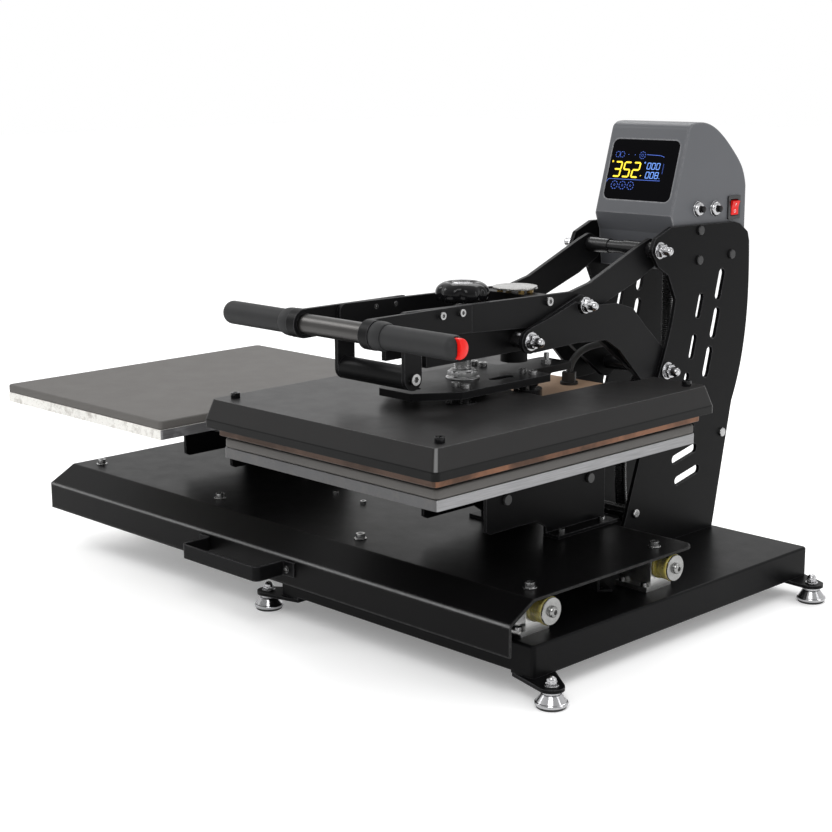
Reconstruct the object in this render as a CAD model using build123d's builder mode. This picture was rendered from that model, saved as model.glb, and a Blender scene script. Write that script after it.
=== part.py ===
from build123d import *
from math import atan2, cos, degrees, radians, sin
import os

os.makedirs("parts", exist_ok=True)

# Driving dimensions in millimetres: X across, Y to the back, Z up from the floor
platen_wide = 406.4
platen_deep = 508.0
station_gap = 144.3
lower_platen_thick = 14.4
pad_thick = 12.9
press_gap = 3.4
heated_platen_thick = 20.2
board_thick = 10.0
foot_rise = 22.7
bracket_thick = 5.0
base_high = 43.2
base_side = 41.4
base_front = -126.7
base_back = 484.8
deck_rise = 58.1
deck_back = 217.0
stand_high = 132.1
rail_front = -86.0
rail_back = 169.0
rail_shaft_r = 10.0
rail_above_base = 35.1
block_long = 54.0
tower_half = 72.0
sheet = 3.0
cover_sheet = 2.0
tower_thick = 6.0
lever_thick = 6.0
cheek_thick = 5.0
link_thick = 4.0
beam_thick = 8.0
beam_inner = 34.0
pivot_r = 8.0
lower_pivot_r = 10.0
handle_tube_r = 13.3
grip_r = 15.6
grip_tip = 216.0
knob_r = 37.0
pressure_screw_r = 12.0
foot_r = 23.0
ear_reach = 28.9
bumper_long = 24.5
bumper_washer = 3.0
bumper_head_high = 7.0
cover_overhang = 19.5
tower_back = 552.6

# Clearances
running = 0.05
side_play = 1.0
seat_play = 0.05
hole_play = 0.2
box_play = 0.5

# Heights and places that follow from the driving dimensions
station_pitch = platen_wide + station_gap
base_half = platen_wide / 2 + base_side
apron_foot = foot_rise + bracket_thick
base_top = apron_foot + base_high
deck_top = base_top + deck_rise
platen_floor = deck_top + stand_high
pad_floor = platen_floor + lower_platen_thick
pad_top = pad_floor + pad_thick
press_level = pad_top + press_gap
board_floor = press_level + heated_platen_thick
board_top = board_floor + board_thick
cover_top = board_top + 20.0
hanger_floor = cover_top + 10.0
hanger_top = hanger_floor + 10.0
rail_level = base_top + rail_above_base
deck_middle = -station_pitch / 2
block_end = base_half - 33.6
deck_half = station_pitch / 2 + base_half - 6.6
rail_half = station_pitch / 2 + block_end + 0.5
stations = (0.0, -station_pitch)
rails = (rail_front, rail_back)
ear_x = base_half + ear_reach

# Middle of the footprint, from the left bumper to the right feet and from the cover to the tower
footprint_left = deck_middle - rail_half - bumper_long - bumper_washer - bumper_head_high
middle_x = (footprint_left + ear_x + foot_r) / 2
middle_y = (tower_back - platen_deep / 2 - cover_overhang) / 2

# Pivots in the Y and Z plane, heights counted from the heated platen's underside
upper_pivot = (328.0, press_level + 221.2)
lower_pivot = (352.0, press_level + 42.2)
arm_pivot = (59.0, press_level + 120.7)
knee_pivot = (168.5, press_level + 158.6)
tube_axis = (-228.0, press_level + 164.0)

# Layers across X, from the lever outwards
lever_inner = tower_half - 3 * side_play - cheek_thick - link_thick - lever_thick
lever_outer = lever_inner + lever_thick
link_inner = lever_outer + side_play
cheek_inner = tower_half - side_play - cheek_thick
tower_outer = tower_half + tower_thick
box_half = tower_half - box_play


def at_level(points):
    """Outline points whose heights are counted from the heated platen's underside."""
    return [(y, press_level + z) for y, z in points]


def export(block, label):
    """Write one part, moved so that the middle of the footprint is the origin."""
    placed = Pos(-middle_x, -middle_y, 0) * block.part
    placed.label = label
    export_step(placed, f"parts/{label}.step")


def both_sides(make):
    """One block with the right and the left copy of a plate as separate solids."""
    plates = [make(side).part for side in (-1, 1)]
    with BuildPart() as pair:
        add(plates)
    return pair


def side_plane(x):
    return Plane.YZ.offset(x)


def plate_across(inner, thick, side):
    """Plane of a plate that lies along Y and Z and fills inner to inner + thick on one side."""
    return side_plane(inner if side > 0 else -inner - thick)


# Socket head screws on one plane: head with its hexagon, shank behind the plane
def socket_screws(seat, spots, head_r, head_high, shank_r, shank_long):
    with BuildPart() as screws:
        with BuildSketch(seat):
            with Locations(*spots):
                Circle(head_r)
        extrude(amount=head_high)
        with BuildSketch(seat.offset(head_high)):
            with Locations(*spots):
                RegularPolygon(head_r * 0.55, 6)
        extrude(amount=-head_high * 0.6, mode=Mode.SUBTRACT)
        with BuildSketch(seat):
            with Locations(*spots):
                Circle(shank_r)
        extrude(amount=-shank_long)
    return screws.part


# Acorn nut on its washer: hexagon, dome and blind thread bore over a shaft end
def acorn_nut(seat, bore_r, washer_r):
    washer = 2.5
    hexagon = bore_r * 0.9
    dome_r = bore_r * 1.35
    dome_high = bore_r * 1.2
    with BuildPart() as nut:
        with BuildSketch(seat):
            Circle(washer_r)
        extrude(amount=washer)
        with BuildSketch(seat.offset(washer)):
            RegularPolygon(bore_r * 1.7, 6)
        extrude(amount=hexagon)
        with BuildSketch(seat.offset(washer + hexagon)):
            Circle(dome_r)
        extrude(amount=dome_high)
        tip = nut.edges().group_by(Axis(seat.origin, seat.z_dir))[-1]
        fillet(tip, dome_high * 0.85)
        with BuildSketch(seat):
            Circle(bore_r + running)
        extrude(amount=washer + hexagon + dome_high * 0.4, mode=Mode.SUBTRACT)
    return nut.part


def outward(x, point, side):
    """Plane at a side face with its normal pointing out of the machine."""
    return Plane(origin=(side * x, point[0], point[1]), x_dir=(0, 1, 0), z_dir=(side, 0, 0))


# Base tray: one folded sheet, open below, its front apron cut up between the corners
apron_step = 3.4
corner_foot = 38.0
block_screw_r = 2.5
block_screw_x = 19.0
block_screw_y = 23.0
block_middles = (block_end - block_long / 2, -block_end + block_long / 2)
block_screw_spots = [
    (x + dx, y + dy)
    for x in block_middles
    for y in rails
    for dx in (-block_screw_x, block_screw_x)
    for dy in (-block_screw_y, block_screw_y)
]
tower_flange = 30.0
tower_screw_x = tower_half - 18.0
tower_screw_spots = [(side * tower_screw_x, y) for side in (-1, 1) for y in (275.0, 358.0, 441.0)]
latch_spots = [(140.0, 125.0), (160.0, 111.5)]

with BuildPart() as base_tray:
    with BuildSketch(Plane.XY.offset(apron_foot)):
        with BuildLine():
            Polyline(
                (-base_half, base_front),
                (base_half, base_front),
                (base_half, base_back),
                (-base_half, base_back),
                close=True,
            )
        make_face()
    extrude(amount=base_high)
    fillet(base_tray.edges().filter_by(Axis.Z), 6)
    fillet(base_tray.faces().sort_by(Axis.Z)[-1].edges(), 3.5)
    offset(amount=-sheet, openings=base_tray.faces().sort_by(Axis.Z)[0])
    with BuildSketch(Plane.XZ.offset(-base_front)):
        with Locations((0, apron_foot)):
            Rectangle(2 * (base_half - corner_foot), 2 * apron_step)
    extrude(amount=-3 * sheet, mode=Mode.SUBTRACT)
    with BuildSketch(Plane.XY.offset(base_top)):
        with Locations(*block_screw_spots, *latch_spots):
            Circle(block_screw_r + hole_play)
        with Locations(*tower_screw_spots):
            Circle(block_screw_r + 1 + hole_play)
    extrude(amount=-sheet - 1, mode=Mode.SUBTRACT)
export(base_tray, "base_tray")

# Corner brackets: plate under each corner with a rounded ear outside it
ear_r = 17.0
feet_y = (base_front + 1.1, base_back - 30.4)
stud_r = 5.0
ear_spots = [(side * ear_x, y) for side in (-1, 1) for y in feet_y]

with BuildPart() as foot_brackets:
    for side in (-1, 1):
        for foot_y, inner_y in zip(feet_y, (base_front + 22, base_back - 22)):
            with BuildSketch(Plane.XY.offset(foot_rise)):
                with Locations((side * ear_x, foot_y)):
                    Circle(ear_r)
                with Locations((side * (base_half - corner_foot / 2), inner_y)):
                    Rectangle(corner_foot - 2, 42)
                make_hull()
            extrude(amount=bracket_thick)
    with BuildSketch(Plane.XY.offset(foot_rise)):
        with Locations(*ear_spots):
            Circle(stud_r + hole_play)
    extrude(amount=bracket_thick, mode=Mode.SUBTRACT)
export(foot_brackets, "foot_brackets")

# Levelling feet: turned cone with a neck and a threaded stud through the ear
neck_r = 10.5
stud_top = apron_foot + 9.0
with BuildPart() as foot_blank:
    with BuildSketch(Plane.XZ):
        with BuildLine():
            Polyline((0, 0), (foot_r - 3, 0), (foot_r, 3), (foot_r, 9), (neck_r + 1, foot_rise - 5))
            Polyline(
                (neck_r + 1, foot_rise - 5),
                (neck_r, foot_rise),
                (stud_r, foot_rise),
                (stud_r, stud_top),
                (0, stud_top),
                (0, 0),
            )
        make_face()
    revolve(axis=Axis.Z)
with BuildPart() as levelling_feet:
    with Locations(*ear_spots):
        add(foot_blank.part)
export(levelling_feet, "levelling_feet")

# Acorn nut that locks a foot on its ear
foot_nut = acorn_nut(Plane.XY.offset(apron_foot), stud_r, 10.5)
# Bearing blocks: flanged foot, body round the shaft, slot above it for the rail support
block_foot = 7.0
block_body_half = 18.0
block_foot_half = 27.0
block_high = rail_above_base + 12.0
support_web = 10.0
support_foot = 4.0
slot_half = support_web / 2 + 1.5
with BuildPart() as bearing_blocks:
    for rail_y in rails:
        for middle in block_middles:
            with BuildSketch(side_plane(middle - block_long / 2)) as profile:
                with Locations((rail_y, base_top + block_foot / 2)):
                    Rectangle(2 * block_foot_half, block_foot)
                with Locations((rail_y, base_top + block_high / 2)):
                    Rectangle(2 * block_body_half, block_high)
                chamfer(profile.vertices().group_by(Axis.Y)[-1], 4)
                with Locations((rail_y, rail_level)):
                    Circle(rail_shaft_r + running, mode=Mode.SUBTRACT)
                with Locations((rail_y, rail_level + block_high / 2)):
                    Rectangle(2 * slot_half, block_high, mode=Mode.SUBTRACT)
            extrude(amount=block_long)
    with BuildSketch(Plane.XY.offset(base_top)):
        with Locations(*block_screw_spots):
            Circle(block_screw_r + hole_play)
    extrude(amount=block_foot, mode=Mode.SUBTRACT)
export(bearing_blocks, "bearing_blocks")

# Latch bracket: folded strip on the base that the shuttle stops against, with two bolts
latch_foot = 3.0
latch_tall = 22.0
with BuildPart() as latch_bracket:
    with BuildSketch(Plane.XY.offset(base_top)):
        with Locations((150, 118)):
            Rectangle(44, 20, rotation=-34)
    extrude(amount=latch_foot)
    with BuildSketch(Plane.XY.offset(base_top)):
        with Locations((144.5, 110)):
            Rectangle(44, latch_foot, rotation=-34)
    extrude(amount=latch_tall)
    with BuildSketch(Plane.XY.offset(base_top)):
        with Locations(*latch_spots):
            Circle(block_screw_r + hole_play)
    extrude(amount=latch_tall, mode=Mode.SUBTRACT)
export(latch_bracket, "latch_bracket")

# Tower side plates: curved back, concave front, slanted slots and an inward foot flange
tower_button_spots = at_level([(424, 243), (423, 199), (504, 201)])
spacer_spots = at_level([(493, -73), (283, -162)])


def tower_plate(side):
    back_start = (517, press_level - 27.3)
    back_end = (550.5, press_level + 218.2)
    front_start = (369.5, press_level + 145.2)
    front_end = (333, press_level + 38.2)
    with BuildPart() as plate:
        with BuildSketch(plate_across(tower_half, tower_thick, side)) as face:
            with BuildLine():
                Polyline((242.5, base_top), (475, base_top), back_start)
                Spline(back_start, (546, press_level + 66.7), (552.5, press_level + 141.2), back_end)
                Polyline(
                    back_end,
                    *at_level([(546, 232), (525, 246.2), (509.5, 250.2), (355.5, 253.2)]),
                    *at_level([(318.5, 239), (309, 221), (326, 197), (350, 183)]),
                    front_start,
                )
                Spline(front_start, *at_level([(361, 108.7), (347, 70)]), front_end)
                Polyline(front_end, (292, press_level - 80.3), (242.5, base_top))
            make_face()
            top_corners = face.vertices().filter_by(lambda v: v.Y > press_level + 175)
            fillet(top_corners, 7)
            with Locations(upper_pivot):
                Circle(pivot_r + running, mode=Mode.SUBTRACT)
            with Locations(lower_pivot):
                Circle(lower_pivot_r + running, mode=Mode.SUBTRACT)
            with Locations(*tower_button_spots, *spacer_spots):
                Circle(4 + hole_play, mode=Mode.SUBTRACT)
            with Locations(*at_level([(478, 158), (468, 100), (452, 42)])):
                SlotOverall(48, 15, rotation=75, mode=Mode.SUBTRACT)
            with Locations(*at_level([(428, 130), (414, 70), (398, 14)])):
                SlotOverall(38, 12, rotation=75, mode=Mode.SUBTRACT)
            with Locations(*at_level([(392, -58), (400, -92), (408, -126)])):
                SlotOverall(62, 14, rotation=12, mode=Mode.SUBTRACT)
        extrude(amount=tower_thick)
        with BuildSketch(Plane.XY.offset(base_top)):
            with BuildLine():
                Polyline(
                    (side * (tower_half + 0.1), 252),
                    (side * (tower_half - tower_flange), 258),
                    (side * (tower_half - tower_flange), 460),
                    (side * (tower_half + 0.1), 466),
                    close=True,
                )
            make_face()
        extrude(amount=tower_thick)
        with BuildSketch(Plane.XY.offset(base_top)):
            with Locations(*[spot for spot in tower_screw_spots if spot[0] * side > 0]):
                Circle(block_screw_r + 1 + hole_play)
        extrude(amount=tower_thick, mode=Mode.SUBTRACT)
    return plate


export(both_sides(tower_plate), "tower_plates")

# Screws of the base and tower: button heads outside, cap screws on blocks and foot flanges
button_head_high = 4.0
with BuildPart() as base_screws:
    for side in (-1, 1):
        with BuildSketch(plate_across(tower_outer, button_head_high, side)):
            with Locations(*tower_button_spots, *spacer_spots):
                Circle(7)
        extrude(amount=button_head_high)
        with BuildSketch(plate_across(tower_half - 8, 8 + tower_thick, side)):
            with Locations(*tower_button_spots, *spacer_spots):
                Circle(4)
        extrude(amount=8 + tower_thick)
    rims = base_screws.edges().group_by(Axis.X)
    fillet([*rims[0], *rims[-1]], 2)
    add(
        [
            socket_screws(
                Plane.XY.offset(base_top + tower_thick),
                tower_screw_spots,
                6,
                6,
                block_screw_r + 1,
                tower_thick + sheet + 4,
            ),
            socket_screws(
                Plane.XY.offset(base_top + block_foot),
                block_screw_spots,
                4.5,
                5,
                block_screw_r,
                block_foot + sheet + 4,
            ),
        ]
    )
export(base_screws, "base_screws")

# Shafts fixed in the tower: both pivots, the upper one's rings, and tubes that space the plates
shaft_end = tower_outer + 13.0
sleeve_r = 12.0
ring_inner = lever_outer + 0.3
with BuildPart() as tower_shafts:
    with BuildSketch(side_plane(-shaft_end)):
        with Locations(upper_pivot):
            Circle(pivot_r)
        with Locations(lower_pivot):
            Circle(lower_pivot_r)
    extrude(amount=2 * shaft_end)
    with BuildSketch(side_plane(-lever_inner + 0.5)):
        with Locations(upper_pivot):
            Circle(sleeve_r)
    extrude(amount=2 * (lever_inner - 0.5))
    for side in (-1, 1):
        with BuildSketch(plate_across(ring_inner, tower_half - ring_inner, side)):
            with Locations(upper_pivot):
                Circle(sleeve_r)
                Circle(pivot_r + running, mode=Mode.SUBTRACT)
        extrude(amount=tower_half - ring_inner)
    with BuildSketch(side_plane(-tower_half)):
        with Locations(*spacer_spots):
            Circle(9)
            Circle(4 + hole_play, mode=Mode.SUBTRACT)
    extrude(amount=2 * tower_half)
export(tower_shafts, "tower_shafts")

pivot_nut_list = [
    acorn_nut(outward(tower_outer, point, side), bore, bore * 1.9)
    for point, bore in ((upper_pivot, pivot_r), (lower_pivot, lower_pivot_r))
    for side in (-1, 1)
]
with BuildPart() as acorn_nuts:
    with Locations(*ear_spots):
        add(foot_nut)
    add(pivot_nut_list)
export(acorn_nuts, "acorn_nuts")

# Control box: folded and rounded shell, its lower part standing between the side plates
glass_half = 62.0
glass_thick = 3.0
face_foot = (362.0, press_level + 267.2)
face_head = (399.0, press_level + 389.8)
face_plane = Plane(
    origin=(0, *face_foot),
    x_dir=(1, 0, 0),
    z_dir=(0, face_foot[1] - face_head[1], face_head[0] - face_foot[0]),
)
face_long = ((face_head[0] - face_foot[0]) ** 2 + (face_head[1] - face_foot[1]) ** 2) ** 0.5
glass_low = face_long - 108.0
glass_high = face_long - 16.5
glass_middle = (0, (glass_low + glass_high) / 2)
glass_tall = glass_high - glass_low
fuse_spots = at_level([(425, 274), (467, 272)])
rocker_spot = (515.0, press_level + 270.7)
rocker_wide = 26.0
rocker_tall = 31.0
box_back = 547.0
rear_plane = Plane(origin=(0, box_back, press_level + 270), x_dir=(-1, 0, 0), z_dir=(0, 1, 0))
inlet_wide = 28.0
inlet_tall = 22.0

with BuildPart() as control_box:
    with BuildSketch(side_plane(-box_half)):
        with BuildLine():
            Polyline(
                (530, press_level + 186),
                (378, press_level + 186),
                (372, press_level + 240),
                face_foot,
                face_head,
            )
            Spline(
                face_head,
                (406, press_level + 397.4),
                (425.7, press_level + 400.2),
                tangents=((37, 122), (1, 0)),
            )
            Spline(
                (425.7, press_level + 400.2),
                *at_level([(476, 385.2), (521, 348.2)]),
                (box_back, press_level + 302),
                tangents=((1, 0), (0.2, -1)),
            )
            Polyline(
                (box_back, press_level + 302),
                (box_back, press_level + 236.2),
                (530, press_level + 186),
            )
        make_face()
    extrude(amount=2 * box_half)
    rims = control_box.faces().filter_by(Axis.X).edges()
    fillet(rims.filter_by(lambda e: e.center().Z > press_level + 262), 2.5)
    offset(amount=-sheet, openings=control_box.faces().sort_by(Axis.Z)[0])
    with BuildSketch(face_plane):
        with Locations(glass_middle):
            RectangleRounded(2 * glass_half, glass_tall, 10)
    extrude(amount=-sheet - 1, mode=Mode.SUBTRACT)
    with BuildSketch(side_plane(box_half)):
        with Locations(*fuse_spots):
            Circle(6 + hole_play)
        with Locations(rocker_spot):
            Rectangle(rocker_wide - 3, rocker_tall - 3)
    extrude(amount=-sheet - 1, mode=Mode.SUBTRACT)
    with BuildSketch(side_plane(-box_half)):
        with Locations(*tower_button_spots):
            Circle(4 + hole_play)
    extrude(amount=2 * box_half, mode=Mode.SUBTRACT)
    with BuildSketch(rear_plane):
        Rectangle(inlet_wide + 0.4, inlet_tall + 0.4)
    extrude(amount=-sheet - 1, mode=Mode.SUBTRACT)
export(control_box, "control_box")

# Display glass seated in its window, rounded corners
with BuildPart() as display_glass:
    with BuildSketch(face_plane):
        with Locations(glass_middle):
            RectangleRounded(2 * (glass_half - 0.3), glass_tall - 0.6, 9.7)
    extrude(amount=-glass_thick)
    fillet(display_glass.faces().sort_by(Axis.Y)[0].edges(), 0.6)
export(display_glass, "display_glass")

# Controller board behind the glass with its processor and relay blocks
board_gap = 6.0
with BuildPart() as controller_board:
    with BuildSketch(face_plane.offset(-glass_thick)):
        with Locations(glass_middle):
            Rectangle(2 * glass_half - 20, glass_tall - 20)
    extrude(amount=-board_gap)
    with BuildSketch(face_plane.offset(-glass_thick - board_gap)):
        with Locations(glass_middle):
            Rectangle(2 * glass_half - 4, glass_tall + 6)
    extrude(amount=-1.6)
    with BuildSketch(face_plane.offset(-glass_thick - board_gap - 1.6)):
        with Locations((-34, glass_middle[1]), (0, glass_middle[1] + 18), (32, glass_middle[1] - 14)):
            Rectangle(24, 18)
    extrude(amount=-12)
export(controller_board, "controller_board")

# Fuse holders: threaded barrel with a rim outside the box
with BuildPart() as fuse_holders:
    with BuildSketch(side_plane(box_half)):
        with Locations(*fuse_spots):
            Circle(8)
    extrude(amount=3)
    with BuildSketch(side_plane(box_half)):
        with Locations(*fuse_spots):
            Circle(6)
    extrude(amount=-26)
    with BuildSketch(side_plane(box_half + 3)):
        with Locations(*fuse_spots):
            Circle(4.6)
    extrude(amount=-24, mode=Mode.SUBTRACT)
export(fuse_holders, "fuse_holders")


# Fuse cap: slotted screw head on a short stem in the holder
def fuse_cap(spot):
    with BuildPart() as cap:
        with BuildSketch(side_plane(box_half + 3 + seat_play)):
            with Locations(spot):
                Circle(6.6)
        extrude(amount=6)
        fillet(cap.edges().group_by(Axis.X)[-1], 1.5)
        with BuildSketch(side_plane(box_half + 3 + seat_play)):
            with Locations(spot):
                Circle(4.5)
        extrude(amount=-18)
        with BuildSketch(side_plane(box_half + 10)):
            with Locations(spot):
                Rectangle(14, 1.4)
        extrude(amount=-2.6, mode=Mode.SUBTRACT)
    return cap


for spot, label in zip(fuse_spots, ("fuse_cap_front", "fuse_cap_rear")):
    export(fuse_cap(spot), label)

# Switch bezel: rectangular frame and housing in the side wall, bored for the rocker's pin
rocker_pivot_x = box_half - 6.0
rocker_pin_r = 1.6
rocker_pin_half = rocker_wide / 2 - 2.5
with BuildPart() as switch_bezel:
    with BuildSketch(side_plane(box_half)) as rim:
        with Locations(rocker_spot):
            Rectangle(rocker_wide + 4.4, rocker_tall + 4)
        fillet(rim.vertices(), 2)
    extrude(amount=2.4)
    with BuildSketch(side_plane(box_half)):
        with Locations(rocker_spot):
            Rectangle(rocker_wide - 3.4, rocker_tall - 3.4)
    extrude(amount=-22)
    with BuildSketch(side_plane(box_half + 2.4)):
        with Locations(rocker_spot):
            Rectangle(rocker_wide - 7, rocker_tall - 6)
    extrude(amount=-20, mode=Mode.SUBTRACT)
    with BuildSketch(Plane.XZ.offset(-rocker_spot[0])):
        with Locations((rocker_pivot_x, rocker_spot[1])):
            Circle(rocker_pin_r + running)
    extrude(amount=rocker_pin_half + 0.3, both=True, mode=Mode.SUBTRACT)
export(switch_bezel, "switch_bezel")

# Rocker: wedge with two faces that meet over its pivot pin
rocker_half = rocker_tall / 2 - 4.2
with BuildPart() as rocker_switch:
    with BuildSketch(Plane.XZ.offset(-rocker_spot[0])):
        with BuildLine():
            Polyline(
                (rocker_pivot_x - 5, rocker_spot[1] - 6),
                (rocker_pivot_x + 9, rocker_spot[1] - rocker_half),
                (rocker_pivot_x + 9.5, rocker_spot[1]),
                (rocker_pivot_x + 12.5, rocker_spot[1] + rocker_half - 1.8),
                (rocker_pivot_x + 4, rocker_spot[1] + rocker_half - 0.6),
                (rocker_pivot_x - 5, rocker_spot[1] + 6),
                close=True,
            )
        make_face()
    extrude(amount=rocker_wide / 2 - 4.3, both=True)
    with BuildSketch(Plane.XZ.offset(-rocker_spot[0])):
        with Locations((rocker_pivot_x, rocker_spot[1])):
            Circle(rocker_pin_r)
    extrude(amount=rocker_pin_half, both=True)
export(rocker_switch, "rocker_switch")

# Mains inlet in the back wall of the box: flange, shroud and three blades
with BuildPart() as power_inlet:
    with BuildSketch(rear_plane):
        RectangleRounded(inlet_wide + 22, inlet_tall + 4, 3)
    extrude(amount=3)
    with BuildSketch(rear_plane):
        Rectangle(inlet_wide, inlet_tall)
    extrude(amount=-24)
    with BuildSketch(rear_plane.offset(3)):
        RectangleRounded(inlet_wide - 4, inlet_tall - 5, 4)
    extrude(amount=-20, mode=Mode.SUBTRACT)
    with BuildSketch(rear_plane.offset(-17)):
        with Locations((-7, -3), (0, 3), (7, -3)):
            Rectangle(2, 5)
    extrude(amount=16)
export(power_inlet, "power_inlet")

# Ribbed conduit in the tower: mouth concentric with the lower pivot, low loop, up into the box
cable_r = 5.0
conduit_inner_r = 7.2
conduit_r = 9.0
bend_r = 38.0
mouth_angle = 50.0
leave_angle = -30.0


def round_pivot(angle):
    """Point of the cable's bend round the lower pivot at an angle from the back."""
    turn = radians(angle)
    return (lower_pivot[0] + bend_r * cos(turn), lower_pivot[1] + bend_r * sin(turn))


leave = round_pivot(leave_angle)
lead = (leave[0] - 40, leave[1] - 40 * cos(radians(30)) / sin(radians(30)))
with BuildPart() as cable_conduit:
    with BuildLine(Plane.YZ) as route:
        mouth = CenterArc(lower_pivot, bend_r, mouth_angle, leave_angle - mouth_angle)
        FilletPolyline(
            mouth @ 1,
            lead,
            (lead[0], base_top + 50),
            (365, base_top + conduit_r + 0.3),
            (425, base_top + conduit_r + 0.3),
            (452, base_top + 80),
            (452, press_level + 190),
            radius=24,
        )
    with BuildSketch(Plane(origin=route.line @ 0, z_dir=route.line % 0)):
        Circle(conduit_r)
        Circle(conduit_inner_r, mode=Mode.SUBTRACT)
    sweep()
export(cable_conduit, "cable_conduit")

# Shuttle deck: one sheet, sloped towards the front and folded down into an apron
deck_under = deck_top - sheet
deck_fold = -117.7
deck_front = -163.1
slope_foot = deck_top - 24.4
apron_low = deck_top - 66.1
deck_screw_r = 3.0
deck_screw_reach = deck_half - 36.35
deck_screw_spots = [
    (deck_middle + part * deck_screw_reach, y) for part in (-1, -1 / 3, 1 / 3, 1) for y in rails
]
small_screw_spots = [(deck_middle - 48.5, 53), (deck_middle + 21.5, 46)]
stand_half = 60.0
stand_thick = 5.0
stand_flange = 24.0
flange_middle = stand_half + stand_thick / 2 + stand_flange / 2
flange_screw_spots = [
    (station + side * flange_middle, y)
    for station in stations
    for side in (-1, 1)
    for y in (122.0, 210.0)
]

with BuildPart() as deck_plate:
    with BuildSketch(side_plane(deck_middle - deck_half)) as fold:
        with BuildLine():
            Polyline(
                (deck_back, deck_top),
                (deck_fold, deck_top),
                (deck_front, slope_foot),
                (deck_front, apron_low),
                (deck_front + sheet, apron_low),
                (deck_front + sheet, slope_foot - 1.8),
                (deck_fold + 0.8, deck_under),
                (deck_back, deck_under),
                close=True,
            )
        make_face()
        bends = fold.vertices().filter_by(lambda v: v.Y < deck_fold + 5 and v.Z > apron_low + 5)
        fillet(bends, 4)
    extrude(amount=2 * deck_half)
    corners = deck_plate.edges().filter_by(Axis.Z).filter_by(lambda e: e.center().Y > deck_back - 1)
    fillet(corners, 22)
    with BuildSketch(Plane.XY.offset(deck_top)):
        with Locations(*deck_screw_spots, *flange_screw_spots, *small_screw_spots):
            Circle(deck_screw_r + hole_play)
    extrude(amount=-sheet - 1, mode=Mode.SUBTRACT)
export(deck_plate, "deck_plate")

# Guide shafts and the supports that hang them under the deck
with BuildPart() as guide_rails:
    with BuildSketch(side_plane(deck_middle - rail_half)):
        with Locations(*[(y, rail_level) for y in rails]):
            Circle(rail_shaft_r)
    extrude(amount=2 * rail_half)
export(guide_rails, "guide_rails")

with BuildPart() as rail_supports:
    for rail_y in rails:
        with BuildSketch(side_plane(deck_middle - rail_half)):
            with Locations((rail_y, deck_under - support_foot / 2)):
                Rectangle(30, support_foot)
            with Locations((rail_y, (deck_under + rail_level) / 2)):
                Rectangle(support_web, deck_under - rail_level)
            with Locations((rail_y, rail_level)):
                Circle(rail_shaft_r, mode=Mode.SUBTRACT)
        extrude(amount=2 * rail_half)
    with BuildSketch(Plane.XY.offset(deck_under)):
        with Locations(*deck_screw_spots):
            Circle(deck_screw_r + hole_play)
    extrude(amount=-9, mode=Mode.SUBTRACT)
export(rail_supports, "rail_supports")

# End bumpers of soft polyurethane, each held by a washer and a bolt at a shaft end
bumper_r = 19.0
bolt_r = 4.0
bumper_start = rail_half
with BuildPart() as end_bumpers:
    for side in (-1, 1):
        for rail_y in rails:
            face = Plane(
                origin=(deck_middle + side * bumper_start, rail_y, rail_level),
                x_dir=(0, 1, 0),
                z_dir=(side, 0, 0),
            )
            with BuildSketch(face):
                Circle(bumper_r)
                Circle(bolt_r + hole_play, mode=Mode.SUBTRACT)
            extrude(amount=bumper_long)
    fillet(end_bumpers.edges().filter_by(GeomType.CIRCLE).filter_by(lambda e: e.radius > 10), 1.5)
export(end_bumpers, "end_bumpers")

with BuildPart() as bumper_bolts:
    for side in (-1, 1):
        for rail_y in rails:
            face = Plane(
                origin=(deck_middle + side * (bumper_start + bumper_long), rail_y, rail_level),
                x_dir=(0, 1, 0),
                z_dir=(side, 0, 0),
            )
            with BuildSketch(face):
                Circle(bumper_r - 1)
            extrude(amount=bumper_washer)
            with BuildSketch(face.offset(bumper_washer)):
                Circle(7.5)
            extrude(amount=bumper_head_high)
            with BuildSketch(face.offset(bumper_washer + bumper_head_high)):
                RegularPolygon(4.4, 6)
            extrude(amount=-4.5, mode=Mode.SUBTRACT)
            with BuildSketch(face):
                Circle(bolt_r)
            extrude(amount=-bumper_long)
export(bumper_bolts, "bumper_bolts")

# Pull handle: flat strip bent to a U with a tab each side, and its two screws
grip_low = deck_top - 51.0
strip_high = 21.0
strip_thick = 3.0
pull_half = 83.0
pull_reach = 50.0
tab_long = 24.0
strip_edge = [
    (deck_middle - pull_half - tab_long, deck_front),
    (deck_middle - pull_half, deck_front),
    (deck_middle - pull_half, deck_front - pull_reach),
    (deck_middle + pull_half, deck_front - pull_reach),
    (deck_middle + pull_half, deck_front),
    (deck_middle + pull_half + tab_long, deck_front),
]
tab_screw_spots = [
    (side * (pull_half + tab_long / 2) + deck_middle, grip_low + strip_high / 2) for side in (-1, 1)
]
with BuildPart() as pull_handle:
    with BuildSketch(Plane.XY.offset(grip_low)):
        with BuildLine():
            FilletPolyline(*strip_edge, radius=6)
            offset(amount=strip_thick, side=Side.RIGHT)
        make_face()
    extrude(amount=strip_high)
    with BuildSketch(Plane.XZ.offset(-deck_front - 1)):
        with Locations(*tab_screw_spots):
            Circle(deck_screw_r + hole_play)
    extrude(amount=strip_thick + 2, mode=Mode.SUBTRACT)
export(pull_handle, "pull_handle")

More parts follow.
